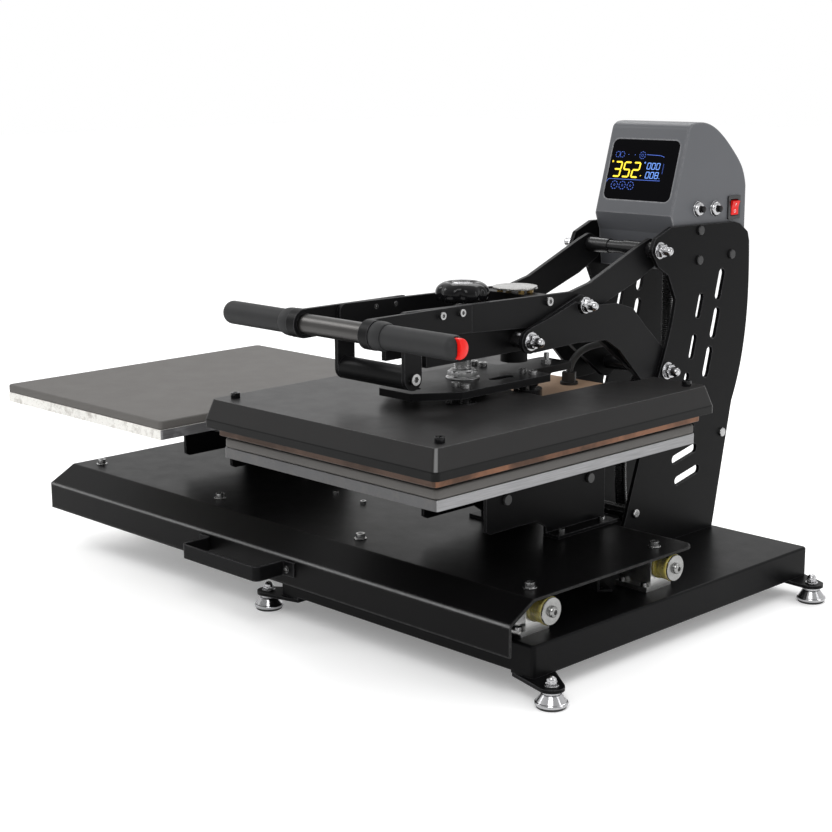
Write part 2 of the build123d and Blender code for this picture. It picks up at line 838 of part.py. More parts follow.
# Platen stands: two cantilevered side plates with outward flanges under a top plate
stand_back = 231.0
stand_front = -19.0
stand_bolt_spots = [(20.6, platen_floor - 63), (196, platen_floor - 64)]
bolt_shank_r = 4.0
with BuildPart() as platen_stands:
    for station in stations:
        for side in (-1, 1):
            middle = station + side * stand_half
            with BuildSketch(side_plane(middle - stand_thick / 2)) as gusset:
                with BuildLine():
                    Polyline(
                        (103, deck_top),
                        (stand_back, deck_top),
                        (stand_back, platen_floor),
                        (stand_front, platen_floor),
                        (stand_front, deck_top + 30),
                        (-12, deck_top + 26),
                        (84, deck_top + 26),
                        (103, deck_top + 14),
                        close=True,
                    )
                make_face()
                fillet(gusset.vertices().filter_by(lambda v: 5 < v.Z - deck_top < 40), 5)
                with Locations(*stand_bolt_spots):
                    Circle(bolt_shank_r + hole_play, mode=Mode.SUBTRACT)
            extrude(amount=stand_thick)
            with BuildSketch(Plane.XY.offset(deck_top)):
                with Locations((station + side * flange_middle, (103 + stand_back) / 2)):
                    Rectangle(stand_flange, stand_back - 103)
            extrude(amount=stand_thick)
        with BuildSketch(Plane.XY.offset(platen_floor)):
            with Locations((station, (stand_back + stand_front) / 2)):
                Rectangle(2 * stand_half, stand_back - stand_front)
        extrude(amount=-stand_thick)
    with BuildSketch(Plane.XY.offset(deck_top)):
        with Locations(*flange_screw_spots):
            Circle(deck_screw_r + hole_play)
    extrude(amount=stand_thick, mode=Mode.SUBTRACT)
export(platen_stands, "platen_stands")

# Screws of the shuttle: shaft supports, pull handle, stand flanges and long stand bolts
with BuildPart() as deck_screws:
    add(
        [
            socket_screws(
                Plane.XY.offset(deck_top), deck_screw_spots, 6.5, 8, deck_screw_r, sheet + 5
            ),
            socket_screws(
                Plane.XY.offset(deck_top), small_screw_spots, 4.5, 4, deck_screw_r, sheet + 1
            ),
            socket_screws(
                Plane.XZ.offset(-deck_front + strip_thick),
                tab_screw_spots,
                5.5,
                4,
                deck_screw_r,
                strip_thick,
            ),
            socket_screws(
                Plane.XY.offset(deck_top + stand_thick),
                flange_screw_spots,
                5,
                5,
                deck_screw_r,
                stand_thick + sheet + 3,
            ),
        ]
    )
    for station in stations:
        reach = stand_half + stand_thick / 2
        for start, radius, long in (
            (-reach - 4, 7, 4),
            (reach, 7, 4),
            (-reach, bolt_shank_r, 2 * reach),
        ):
            with BuildSketch(side_plane(station + start)):
                with Locations(*stand_bolt_spots):
                    Circle(radius)
            extrude(amount=long)
export(deck_screws, "deck_screws")


# Lower platens and their silicone pads
def slab(station, wide, deep, floor, thick, corner_r, edge_r):
    with BuildPart() as block:
        with BuildSketch(Plane(origin=(station, 0, floor))):
            RectangleRounded(wide, deep, corner_r)
        extrude(amount=thick)
        fillet(block.faces().sort_by(Axis.Z)[-1].edges(), edge_r)
    return block


for station, word in zip(stations, ("right", "left")):
    export(
        slab(station, platen_wide, platen_deep, platen_floor, lower_platen_thick, 5, 1),
        f"lower_platen_{word}",
    )
    export(
        slab(station, platen_wide - 1, platen_deep - 1, pad_floor, pad_thick, 5, 2),
        f"silicone_pad_{word}",
    )


# Lever plates: bent once above the knee, round the upper pivot at the back
def lever(side):
    with BuildPart() as plate:
        with BuildSketch(plate_across(lever_inner, lever_thick, side)) as face:
            with BuildLine():
                Polyline(
                    *at_level([(-173, 184), (155, 177.5), (195, 186), (305, 229.7), (330, 238)]),
                    *at_level([(353, 226), (352, 202), (306, 180.2), (217, 150.7)]),
                    *at_level([(150, 139), (70, 137.2), (-74, 145), (-173, 149)]),
                    close=True,
                )
            make_face()
            fillet(face.vertices(), 11)
            with Locations(upper_pivot):
                Circle(pivot_r + running, mode=Mode.SUBTRACT)
            with Locations(knee_pivot):
                Circle(pivot_r + running, mode=Mode.SUBTRACT)
            with Locations(*plate_screw_spots, strike_spot):
                Circle(screw_r + hole_play, mode=Mode.SUBTRACT)
        extrude(amount=lever_thick)
    return plate


screw_r = 3.0
plate_screw_spots = at_level([(-108, 174), (-72, 174)])
strike_spot = (105.0, press_level + 169.5)
export(both_sides(lever), "lever_plates")

# Front plates outside the levers: boss for the tube and a leg for the crossbar
crossbar_axis = (-157.5, press_level + 98.2)
crossbar_r = 15.0
boss_r = 19.0
boss_long = 10.0
leg_wide = 30.0
plate_outer = lever_outer + lever_thick
with BuildPart() as handle_plates:
    for side in (-1, 1):
        with BuildSketch(plate_across(lever_outer, lever_thick, side)):
            with BuildLine():
                Polyline(
                    (tube_axis[0], tube_axis[1] + boss_r),
                    (-50, press_level + 182.5),
                    (-50, press_level + 146),
                    (crossbar_axis[0] + leg_wide / 2, press_level + 146),
                    (crossbar_axis[0] + leg_wide / 2, crossbar_axis[1]),
                    (crossbar_axis[0] - leg_wide / 2, crossbar_axis[1]),
                    (crossbar_axis[0] - leg_wide / 2, press_level + 146),
                    (tube_axis[0], tube_axis[1] - boss_r),
                    close=True,
                )
            make_face()
            with Locations(tube_axis):
                Circle(boss_r)
            with Locations(crossbar_axis):
                Circle(leg_wide / 2)
        extrude(amount=lever_thick)
        with BuildSketch(plate_across(plate_outer, boss_long, side)):
            with Locations(tube_axis):
                Circle(boss_r)
        extrude(amount=boss_long)
    with BuildSketch(side_plane(-plate_outer - boss_long)):
        with Locations(tube_axis):
            Circle(handle_tube_r + running)
        with Locations(*plate_screw_spots, crossbar_axis):
            Circle(screw_r + hole_play)
    extrude(amount=2 * (plate_outer + boss_long), mode=Mode.SUBTRACT)
export(handle_plates, "handle_plates")

# Handle tube through both bosses, with a collar outside each
collar_wide = 7.0
collar_inner = plate_outer + boss_long
grip_inner = collar_inner + collar_wide
tube_end = grip_tip - 22.0
with BuildPart() as handle_tube:
    with BuildSketch(side_plane(-tube_end)):
        with Locations(tube_axis):
            Circle(handle_tube_r)
            Circle(handle_tube_r - 2.5, mode=Mode.SUBTRACT)
    extrude(amount=2 * tube_end)
    for side in (-1, 1):
        with BuildSketch(plate_across(collar_inner, collar_wide, side)):
            with Locations(tube_axis):
                Circle(grip_r + 0.6)
                Circle(handle_tube_r + running, mode=Mode.SUBTRACT)
        extrude(amount=collar_wide)
export(handle_tube, "handle_tube")

# Hand grips with domed ends, the right one hollowed at the end for the button
button_r = 12.9
button_face = grip_tip - 6.0
button_travel = 3.0
with BuildPart() as hand_grips:
    for side in (-1, 1):
        with BuildSketch(plate_across(grip_inner, grip_tip - grip_inner, side)):
            with Locations(tube_axis):
                Circle(grip_r)
        extrude(amount=grip_tip - grip_inner)
    ends = hand_grips.edges().group_by(Axis.X)
    fillet([*ends[0], *ends[-1]], 11)
    with BuildSketch(side_plane(-tube_end - 0.2)):
        with Locations(tube_axis):
            Circle(handle_tube_r + running)
    extrude(amount=2 * tube_end + 0.4, mode=Mode.SUBTRACT)
    with BuildSketch(side_plane(tube_end)):
        with Locations(tube_axis):
            Circle(button_r + running)
    extrude(amount=button_face + 0.4 - tube_end, mode=Mode.SUBTRACT)
    with BuildSketch(side_plane(button_face)):
        with Locations((tube_axis[0] + grip_r - 4, tube_axis[1])):
            Rectangle(2 * grip_r, 3 * grip_r)
    extrude(amount=grip_tip, mode=Mode.SUBTRACT)
export(hand_grips, "hand_grips")

with BuildPart() as release_button:
    with BuildSketch(side_plane(tube_end + button_travel + 0.5)):
        with Locations(tube_axis):
            Circle(button_r)
    extrude(amount=button_face - tube_end - button_travel - 0.5)
    fillet(release_button.edges().group_by(Axis.X)[-1], 2)
export(release_button, "release_button")

# Round crossbar between the legs, flat crossbar between the levers
with BuildPart() as front_crossbar:
    with BuildSketch(side_plane(-lever_outer)):
        with Locations(crossbar_axis):
            Circle(crossbar_r)
    extrude(amount=2 * lever_outer)
    with BuildSketch(side_plane(-lever_outer)):
        with Locations(crossbar_axis):
            Circle(screw_r + hole_play)
    extrude(amount=2 * lever_outer, mode=Mode.SUBTRACT)
export(front_crossbar, "front_crossbar")

strike_bar_wide = 30.0
strike_bar_thick = 14.0
strike_bar_low = strike_spot[1] - strike_bar_thick / 2
disc_low = press_level + 182.2
standoff_spots = [(dx, strike_spot[0] + dy) for dx in (-20, 20) for dy in (-9, 9)]
with BuildPart() as lever_crossbar:
    with BuildSketch(Plane.XY.offset(strike_bar_low)):
        with Locations((0, strike_spot[0])):
            Rectangle(2 * lever_inner, strike_bar_wide)
    extrude(amount=strike_bar_thick)
    for side in (-1, 1):
        with BuildSketch(plate_across(lever_inner - 16, 16, side)):
            with Locations(strike_spot):
                Circle(screw_r + hole_play)
        extrude(amount=16, mode=Mode.SUBTRACT)
export(lever_crossbar, "lever_crossbar")

# Strike plate: armature under the bar, brass stand-offs and bright disc above it
armature_r = 18.0
armature_thick = 5.0
disc_r = 31.5
disc_thick = 3.0
with BuildPart() as strike_plate:
    with BuildSketch(Plane.XY.offset(disc_low)):
        with Locations((0, strike_spot[0])):
            Circle(disc_r)
    extrude(amount=disc_thick)
    chamfer(strike_plate.edges().group_by(Axis.Z)[-1], 0.8)
    with BuildSketch(Plane.XY.offset(strike_bar_low)):
        with Locations((0, strike_spot[0])):
            Circle(armature_r)
    extrude(amount=-armature_thick)
export(strike_plate, "strike_plate")

with BuildPart() as strike_standoffs:
    with BuildSketch(Plane.XY.offset(strike_bar_low + strike_bar_thick)):
        with Locations(*standoff_spots):
            RegularPolygon(4.5, 6)
    extrude(amount=disc_low - strike_bar_low - strike_bar_thick)
export(strike_standoffs, "strike_standoffs")

# Screws of the handle and lever plates, and the knee bolt's inner half in each lever
handle_screw_list = [
    socket_screws(plate, [(0, 0)], head_r, 5.4, screw_r, depth)
    for side in (-1, 1)
    for plate, head_r, depth in (
        (outward(plate_outer, plate_screw_spots[0], side), 5, 2 * lever_thick),
        (outward(plate_outer, plate_screw_spots[1], side), 5, 2 * lever_thick),
        (outward(plate_outer, crossbar_axis, side), 7.5, 22),
        (outward(lever_outer, strike_spot, side), 6, 20),
    )
]
with BuildPart() as lever_screws:
    add(handle_screw_list)
    for side in (-1, 1):
        with BuildSketch(plate_across(lever_inner - 7, 7, side)):
            with Locations(knee_pivot):
                RegularPolygon(12, 6)
        extrude(amount=7)
        with BuildSketch(plate_across(lever_inner, lever_thick + 0.4, side)):
            with Locations(knee_pivot):
                Circle(pivot_r)
        extrude(amount=lever_thick + 0.4)
export(lever_screws, "lever_screws")

# Toggle links and the outer half of the knee: spacer, washer and acorn nut
link_r = 14.0
with BuildPart() as toggle_links:
    for side in (-1, 1):
        with BuildSketch(plate_across(link_inner, link_thick, side)):
            with Locations(arm_pivot, knee_pivot):
                Circle(link_r)
            make_hull()
            with Locations(arm_pivot):
                Circle(pivot_r + running, mode=Mode.SUBTRACT)
        extrude(amount=link_thick)
export(toggle_links, "toggle_links")

knee_spacer_long = 9.0
knee_start = link_inner + link_thick
knee_nut_list = [
    acorn_nut(outward(knee_start + knee_spacer_long, knee_pivot, side), pivot_r, 12) for side in (-1, 1)
]
with BuildPart() as knee_studs:
    for side in (-1, 1):
        with BuildSketch(plate_across(knee_start, knee_spacer_long, side)):
            with Locations(knee_pivot):
                Circle(pivot_r)
        extrude(amount=knee_spacer_long)
    add(knee_nut_list)
export(knee_studs, "knee_studs")


# Platen arm cheeks: long outer plates, notched along the way that the knee lifts
knee_rise = 30.0
link_angle = degrees(atan2(knee_pivot[1] - arm_pivot[1], knee_pivot[0] - arm_pivot[0]))
knee_slot_middle = (
    knee_pivot[0] - knee_rise / 2 * sin(radians(link_angle)),
    knee_pivot[1] + knee_rise / 2 * cos(radians(link_angle)),
)


def cheek(side):
    with BuildPart() as plate:
        with BuildSketch(plate_across(cheek_inner, cheek_thick, side)) as face:
            with BuildLine():
                Polyline(
                    *at_level([(52, 137), (96, 148.2), (160, 167), (190, 156), (240.5, 153.7)]),
                    *at_level([(277.5, 142.7), (306, 114.7), (371, 58), (350, 18), (318, 18)]),
                    *at_level([(292.4, 42.6), (249.5, 85.2), (219.5, 103.2), (154, 106.7)]),
                    *at_level([(62, 104)]),
                    close=True,
                )
            make_face()
            fillet(face.vertices(), 7)
            with Locations(arm_pivot):
                Circle(17)
            with Locations(lower_pivot):
                Circle(24)
                Circle(lower_pivot_r + running, mode=Mode.SUBTRACT)
            with Locations(arm_pivot):
                Circle(pivot_r + running, mode=Mode.SUBTRACT)
            with Locations(knee_slot_middle):
                SlotCenterToCenter(knee_rise, 26, rotation=link_angle + 90, mode=Mode.SUBTRACT)
        extrude(amount=cheek_thick)
    return plate


export(both_sides(cheek), "arm_cheeks")

# Arm frame: welded inner beams with a round front tie, the threaded block and the magnet seat
beam_front = -111.0
beam_low = press_level + 103.2
beam_top = press_level + 143.2
block_half = 24.0
magnet_y = 103.0
magnet_seat = press_level + 118.2
magnet_top = press_level + 156.4
magnet_r = 30.0
core_r = 19.0
core_low = press_level + 80.2
with BuildPart() as arm_frame:
    for side in (-1, 1):
        with BuildSketch(plate_across(beam_inner, beam_thick, side)) as web:
            with BuildLine():
                Polyline(
                    (beam_front, beam_low),
                    (beam_front, beam_top),
                    (225, beam_top),
                    (lower_pivot[0] + 5, lower_pivot[1] + 21),
                    (lower_pivot[0] - 12, lower_pivot[1] - 18),
                    (232, beam_low),
                    close=True,
                )
            make_face()
            fillet(web.vertices().filter_by(lambda v: v.Y < 300), 8)
            with Locations(lower_pivot):
                Circle(22)
                Circle(lower_pivot_r + running, mode=Mode.SUBTRACT)
            with Locations(arm_pivot):
                Circle(pivot_r + running, mode=Mode.SUBTRACT)
        extrude(amount=beam_thick)
    with BuildSketch(side_plane(-beam_inner)):
        with Locations((beam_front + 14, (beam_low + beam_top) / 2)):
            Circle(8)
    extrude(amount=2 * beam_inner)
    with BuildSketch(Plane.XY.offset(beam_low)):
        Rectangle(2 * beam_inner, 2 * block_half)
        Circle(pressure_screw_r + running, mode=Mode.SUBTRACT)
    extrude(amount=beam_top - beam_low)
    with BuildSketch(Plane.XY.offset(magnet_seat)):
        with Locations((0, magnet_y)):
            Rectangle(2 * beam_inner, 2 * magnet_r)
            Circle(core_r + hole_play, mode=Mode.SUBTRACT)
    extrude(amount=-6)
export(arm_frame, "arm_frame")

# Electromagnet: pot on its seat, narrower core case below it
with BuildPart() as electromagnet:
    with BuildSketch(Plane.XY.offset(magnet_seat)):
        with Locations((0, magnet_y)):
            Circle(magnet_r)
    extrude(amount=magnet_top - magnet_seat)
    with BuildSketch(Plane.XY.offset(magnet_seat)):
        with Locations((0, magnet_y)):
            Circle(core_r)
    extrude(amount=core_low - magnet_seat)
    with BuildSketch(Plane.XY.offset(magnet_top)):
        with Locations((0, magnet_y)):
            Circle(24)
            Circle(15, mode=Mode.SUBTRACT)
    extrude(amount=-2, mode=Mode.SUBTRACT)
export(electromagnet, "electromagnet")

# Front pivot shaft through cheeks, links and beams, with spacers and acorn nuts
arm_shaft_end = tower_half - side_play + 13.0
arm_nut_list = [
    acorn_nut(outward(tower_half - side_play, arm_pivot, side), pivot_r, 15) for side in (-1, 1)
]
with BuildPart() as front_pivot_shaft:
    with BuildSketch(side_plane(-arm_shaft_end)):
        with Locations(arm_pivot):
            Circle(pivot_r)
    extrude(amount=2 * arm_shaft_end)
    for side in (-1, 1):
        spacer_inner = beam_inner + beam_thick + 0.2
        with BuildSketch(plate_across(spacer_inner, link_inner - spacer_inner - 0.3, side)):
            with Locations(arm_pivot):
                Circle(pivot_r + 3)
        extrude(amount=link_inner - spacer_inner - 0.3)
    add(arm_nut_list)
export(front_pivot_shaft, "front_pivot_shaft")

# Heater cable: up out of the head, back along the arm, round the lower pivot into the conduit
gland_y = 222.0
gland_foot = 4.0
head_lift = 3.76
cable_low = board_top + gland_foot + head_lift + 0.6
cable_end_angle = 20.0
cable_high = lower_pivot[1] + bend_r
with BuildPart() as heater_cable:
    with BuildLine(Plane.YZ) as route:
        FilletPolyline(
            (gland_y, cable_low),
            (gland_y, cable_high),
            (lower_pivot[0], cable_high),
            radius=24,
        )
        CenterArc(lower_pivot, bend_r, 90, cable_end_angle - 90)
    with BuildSketch(Plane(origin=route.line @ 0, z_dir=route.line % 0)):
        Circle(cable_r)
    sweep()
export(heater_cable, "heater_cable")

# Heated platen with its blind holes for the posts and stand-offs
heated_wide = platen_wide + 7.6
heated_deep = platen_deep + 13.0
post_inset = 9.7
front_post_inset = 15.0
rear_post_inset = 10.0
post_spots = [
    (dx * (platen_wide / 2 - post_inset), y)
    for dx in (-1, 1)
    for y in (front_post_inset - platen_deep / 2, platen_deep / 2 - rear_post_inset)
]
post_r = 6.0
standoff_r = 20.0
hanger_spots = [(dx * 47.0, y) for dx in (-1, 1) for y in (-52.0, 80.0)]
with BuildPart() as heated_platen:
    with BuildSketch(Plane.XY.offset(press_level)):
        RectangleRounded(heated_wide, heated_deep, 6)
    extrude(amount=heated_platen_thick)
    fillet(heated_platen.faces().sort_by(Axis.Z)[0].edges(), 1.5)
export(heated_platen, "heated_platen")

# Insulation board over the platen, open round the posts, stand-offs and gland
with BuildPart() as insulation_board:
    with BuildSketch(Plane.XY.offset(board_floor)):
        RectangleRounded(heated_wide - 4, heated_deep - 4, 5)
        with Locations(*post_spots):
            Circle(post_r + hole_play, mode=Mode.SUBTRACT)
        with Locations(*hanger_spots):
            Circle(standoff_r + hole_play, mode=Mode.SUBTRACT)
    extrude(amount=board_thick)
export(insulation_board, "insulation_board")

# Cable gland and temperature sensor on the board
with BuildPart() as cable_gland:
    with BuildSketch(Plane.XY.offset(board_top)):
        with Locations((0, gland_y)):
            Circle(13)
    extrude(amount=gland_foot)
    with BuildSketch(Plane.XY.offset(board_top + gland_foot)):
        with Locations((0, gland_y)):
            RegularPolygon(11, 6)
            Circle(cable_r + 0.4, mode=Mode.SUBTRACT)
    extrude(amount=14)
    with BuildSketch(Plane.XY.offset(board_top)):
        with Locations((-60, gland_y - 50)):
            RectangleRounded(34, 16, 3)
    extrude(amount=9)
export(cable_gland, "cable_gland")

# Heater cover: upright skirt, bevelled top, rear cut-out that widens at the back
skirt_low = press_level + 12.2
skirt_high = 10.0
cover_wide = platen_wide + 35.6
cover_deep = platen_deep + 2 * cover_overhang
bevel = 8.0
cut_front = 55.0
with BuildPart() as heater_cover:
    for wall, mode in ((0, Mode.ADD), (cover_sheet, Mode.SUBTRACT)):
        with BuildSketch(Plane.XY.offset(skirt_low)):
            RectangleRounded(cover_wide - 2 * wall, cover_deep - 2 * wall, 8 - wall)
        extrude(amount=skirt_high, mode=mode)
        with BuildSketch(Plane.XY.offset(skirt_low + skirt_high)):
            RectangleRounded(cover_wide - 2 * wall, cover_deep - 2 * wall, 8 - wall)
        with BuildSketch(Plane.XY.offset(cover_top - wall)):
            RectangleRounded(
                cover_wide - 2 * bevel - 2 * wall, cover_deep - 2 * bevel - 2 - 2 * wall, 7 - wall
            )
        loft(mode=mode)
    with BuildSketch(Plane.XY.offset(skirt_low + skirt_high + 2)):
        with BuildLine():
            Polyline(
                (-96, cut_front),
                (96, cut_front),
                (100, 200),
                (120, 218),
                (120, cover_deep),
                (-120, cover_deep),
                (-120, 218),
                (-100, 200),
                close=True,
            )
        make_face()
    extrude(amount=50, mode=Mode.SUBTRACT)
    with BuildSketch(Plane.XY.offset(cover_top + 1)):
        with Locations(*hanger_spots):
            Circle(standoff_r + hole_play)
        with Locations(*post_spots):
            Circle(screw_r + hole_play)
    extrude(amount=-5, mode=Mode.SUBTRACT)
export(heater_cover, "heater_cover")

# Posts on the platen: slim ones under the cover, wide stand-offs up to the hanger plate
with BuildPart() as head_posts:
    with BuildSketch(Plane.XY.offset(board_floor)):
        with Locations(*post_spots):
            Circle(post_r)
    extrude(amount=cover_top - cover_sheet - board_floor)
    with BuildSketch(Plane.XY.offset(cover_top - cover_sheet)):
        with Locations(*post_spots):
            Circle(screw_r + running)
    extrude(amount=-10, mode=Mode.SUBTRACT)
    with BuildSketch(Plane.XY.offset(board_floor)):
        with Locations(*hanger_spots):
            Circle(standoff_r)
    extrude(amount=hanger_floor - board_floor)
export(head_posts, "head_posts")

# Hanger plate with a narrow front, long slots and a rear tongue
tongue_end = 196.0
tongue_stud = (14.0, 156.0)
hanger_thick = hanger_top - hanger_floor
with BuildPart() as hanger_plate:
    with BuildSketch(Plane.XY.offset(hanger_floor)) as outline:
        with BuildLine():
            Polyline(
                (-30, -128),
                (30, -128),
                (70, -72),
                (70, 104),
                (30, 104),
                (30, tongue_end),
                (-30, tongue_end),
                (-30, 104),
                (-70, 104),
                (-70, -72),
                close=True,
            )
        make_face()
        fillet(outline.vertices(), 5)
        with Locations((-38, 36), (38, 36)):
            SlotOverall(44, 15, rotation=90, mode=Mode.SUBTRACT)
        Circle(pressure_screw_r + running, mode=Mode.SUBTRACT)
        with Locations((0, -98)):
            SlotOverall(34, 12, mode=Mode.SUBTRACT)
        with Locations(tongue_stud):
            Circle(4 + hole_play, mode=Mode.SUBTRACT)
    extrude(amount=hanger_thick)
export(hanger_plate, "hanger_plate")

hanger_bolt_spots = [(x + dx, y) for x, y in hanger_spots for dx in (-9, 9)]
with BuildPart() as head_bolts:
    with BuildSketch(Plane.XY.offset(hanger_top)):
        with Locations(*hanger_bolt_spots):
            Circle(6)
    extrude(amount=6)
    with BuildSketch(Plane.XY.offset(hanger_top + 6)):
        with Locations(*hanger_bolt_spots):
            RegularPolygon(3.2, 6)
    extrude(amount=-3.5, mode=Mode.SUBTRACT)
    for floor, high, across in ((hanger_floor - 4, 4, 8), (hanger_top, 7, 8)):
        with BuildSketch(Plane.XY.offset(floor)):
            with Locations(tongue_stud):
                RegularPolygon(across, 6)
        extrude(amount=high)
    with BuildSketch(Plane.XY.offset(hanger_floor - 6)):
        with Locations(tongue_stud):
            Circle(4)
    extrude(amount=hanger_thick + 22)
    add(socket_screws(Plane.XY.offset(cover_top), post_spots, 5.5, 4, screw_r, cover_sheet + 8))
export(head_bolts, "head_bolts")

# Large hexagon collar that holds the pressure screw on the hanger plate
collar_high = 14.0
collar_top = hanger_top + collar_high
with BuildPart() as screw_collar:
    with BuildSketch(Plane.XY.offset(hanger_top)):
        RegularPolygon(26, 6)
        Circle(pressure_screw_r + running, mode=Mode.SUBTRACT)
    extrude(amount=collar_high)
    with BuildSketch(Plane.XY.offset(collar_top)):
        Circle(17)
        Circle(pressure_screw_r + running, mode=Mode.SUBTRACT)
    extrude(amount=3)
export(screw_collar, "screw_collar")

# Pressure screw with its thread as rings, and the lobed knob with its cap
knob_low = press_level + 176.2
knob_high = 23.0
screw_low = hanger_floor + 1
screw_high = knob_low + 12 - screw_low
thread_pitch = 5.0
thread_depth = 0.9
thread_start = collar_top + 6
thread_turns = int((beam_low - 4 - thread_start) / thread_pitch)
with BuildPart() as pressure_screw:
    with BuildSketch(Plane.XY.offset(screw_low)):
        Circle(pressure_screw_r)
    extrude(amount=screw_high)
    for turn in range(thread_turns):
        with BuildSketch(Plane.XY.offset(thread_start + turn * thread_pitch)):
            Circle(pressure_screw_r + 1)
            Circle(pressure_screw_r - thread_depth, mode=Mode.SUBTRACT)
        extrude(amount=thread_pitch * 0.4, mode=Mode.SUBTRACT)
export(pressure_screw, "pressure_screw")

lobe_count = 8
with BuildPart() as pressure_knob:
    with BuildSketch(Plane.XY.offset(knob_low)):
        Circle(knob_r)
        with PolarLocations(knob_r + 5, lobe_count):
            Circle(9, mode=Mode.SUBTRACT)
    extrude(amount=knob_high)
    fillet(pressure_knob.edges().group_by(Axis.Z)[-1], 4)
    fillet(pressure_knob.edges().group_by(Axis.Z)[0], 2)
    with BuildSketch(Plane.XY.offset(knob_low)):
        Circle(pressure_screw_r + running)
    extrude(amount=12, mode=Mode.SUBTRACT)
export(pressure_knob, "pressure_knob")

with BuildPart() as knob_cap:
    with BuildSketch(Plane.XY.offset(knob_low + knob_high)):
        Circle(20)
    extrude(amount=2.5)
    fillet(knob_cap.edges().group_by(Axis.Z)[-1], 1.2)
export(knob_cap, "knob_cap")
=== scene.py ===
import math

import bmesh
import bpy
import numpy as np
from mathutils import Matrix, Vector


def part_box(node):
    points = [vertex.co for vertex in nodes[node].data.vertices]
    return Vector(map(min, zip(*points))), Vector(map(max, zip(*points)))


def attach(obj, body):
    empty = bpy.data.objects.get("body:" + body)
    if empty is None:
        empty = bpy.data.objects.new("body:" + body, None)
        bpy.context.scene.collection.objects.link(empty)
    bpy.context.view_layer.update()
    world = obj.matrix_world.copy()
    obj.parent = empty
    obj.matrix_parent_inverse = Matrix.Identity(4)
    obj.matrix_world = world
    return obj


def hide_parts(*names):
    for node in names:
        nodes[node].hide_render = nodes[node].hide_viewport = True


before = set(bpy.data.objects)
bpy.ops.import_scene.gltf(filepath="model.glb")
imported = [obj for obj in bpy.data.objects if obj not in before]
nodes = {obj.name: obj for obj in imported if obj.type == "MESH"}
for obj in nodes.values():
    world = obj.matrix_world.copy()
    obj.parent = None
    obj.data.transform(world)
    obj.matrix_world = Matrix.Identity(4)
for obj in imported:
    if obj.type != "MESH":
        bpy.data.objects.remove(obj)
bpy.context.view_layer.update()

# Places below are in millimetres from the floor point under the middle of the heated platen
platenLow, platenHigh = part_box("heated_platen")
home = np.array([(platenLow.x + platenHigh.x) / 2, (platenLow.y + platenHigh.y) / 2, 0.0])


def place(points):
    return np.asarray(points, dtype=float) / 1000 + home


# Camera at the photograph's viewing angle
view = {
    "yaw": 45.69,
    "pitch": 12.10,
    "roll": -0.42,
    "position": (1565.5, -1617.3, 791.4),
    "focalPixels": 1685.3,
    "picturePixels": 832,
    "sensor": 36.0,
}


def makeCamera():
    data = bpy.data.cameras.new("photoCamera")
    camera = bpy.data.objects.new("photoCamera", data)
    bpy.context.collection.objects.link(camera)
    data.sensor_width = view["sensor"]
    data.lens = view["focalPixels"] / view["picturePixels"] * view["sensor"]
    data.clip_start, data.clip_end = 0.05, 60
    yaw, pitch, roll = (math.radians(view[key]) for key in ("yaw", "pitch", "roll"))
    back = Vector((math.sin(yaw) * math.cos(pitch), -math.cos(yaw) * math.cos(pitch), math.sin(pitch)))
    level = (-back).cross(Vector((0, 0, 1))).normalized()
    above = level.cross(-back)
    right = math.cos(roll) * level + math.sin(roll) * above
    up = -math.sin(roll) * level + math.cos(roll) * above
    turn = Matrix((right, up, back)).transposed().to_4x4()
    camera.matrix_world = Matrix.Translation(place(view["position"])) @ turn
    bpy.context.scene.camera = camera


makeCamera()
print("camera set")


# Node helpers: every input is fed with a socket, or with a plain number, colour or vector
def feed(tree, socket, value):
    if isinstance(value, bpy.types.NodeSocket):
        tree.links.new(value, socket)
    else:
        socket.default_value = value


def feedAll(tree, node, values):
    # values by the label of the input
    for label, value in values.items():
        feed(tree, node.inputs[label], value)


def calc(tree, operation, first, second=0.5, clamp=False):
    node = tree.nodes.new("ShaderNodeMath")
    node.operation = operation
    node.use_clamp = clamp
    feed(tree, node.inputs[0], first)
    feed(tree, node.inputs[1], second)
    return node.outputs[0]


def vectorCalc(tree, operation, first, second=None):
    # one Vector Math node; the second value of SCALE is its factor
    node = tree.nodes.new("ShaderNodeVectorMath")
    node.operation = operation
    feed(tree, node.inputs[0], first)
    if second is not None:
        feed(tree, node.inputs["Scale" if operation == "SCALE" else 1], second)
    return node.outputs["Value" if operation in ("DOT_PRODUCT", "LENGTH") else "Vector"]


def noise(tree, vector, scale, detail=3.0, rough=0.55):
    node = tree.nodes.new("ShaderNodeTexNoise")
    feedAll(tree, node, {"Vector": vector, "Scale": scale, "Detail": detail, "Roughness": rough})
    return node.outputs["Fac"]


def mapRange(tree, value, low, high, outLow, outHigh, kind="LINEAR"):
    node = tree.nodes.new("ShaderNodeMapRange")
    node.interpolation_type = kind
    feedAll(tree, node, {"Value": value, "From Min": low, "From Max": high, "To Min": outLow, "To Max": outHigh})
    return node.outputs["Result"]


def mixColor(tree, factor, first, second):
    node = tree.nodes.new("ShaderNodeMix")
    node.data_type = "RGBA"
    for index, value in ((0, factor), (6, first), (7, second)):
        feed(tree, node.inputs[index], value)
    return node.outputs[2]


def axisOf(tree, vector, axis):
    split = tree.nodes.new("ShaderNodeSeparateXYZ")
    tree.links.new(vector, split.inputs[0])
    return split.outputs[axis]


def roundedNormal(tree, radius):
    node = tree.nodes.new("ShaderNodeBevel")
    node.samples = 4
    feed(tree, node.inputs["Radius"], radius)
    return node.outputs["Normal"]


def squareTo(tree, axis):
    # 1 on the faces that lie square to an axis
    normal = tree.nodes.new("ShaderNodeNewGeometry").outputs["True Normal"]
    return calc(tree, "GREATER_THAN", calc(tree, "ABSOLUTE", axisOf(tree, normal, axis)), 0.7)


def objectVector(tree):
    return tree.nodes.new("ShaderNodeTexCoord").outputs["Object"]


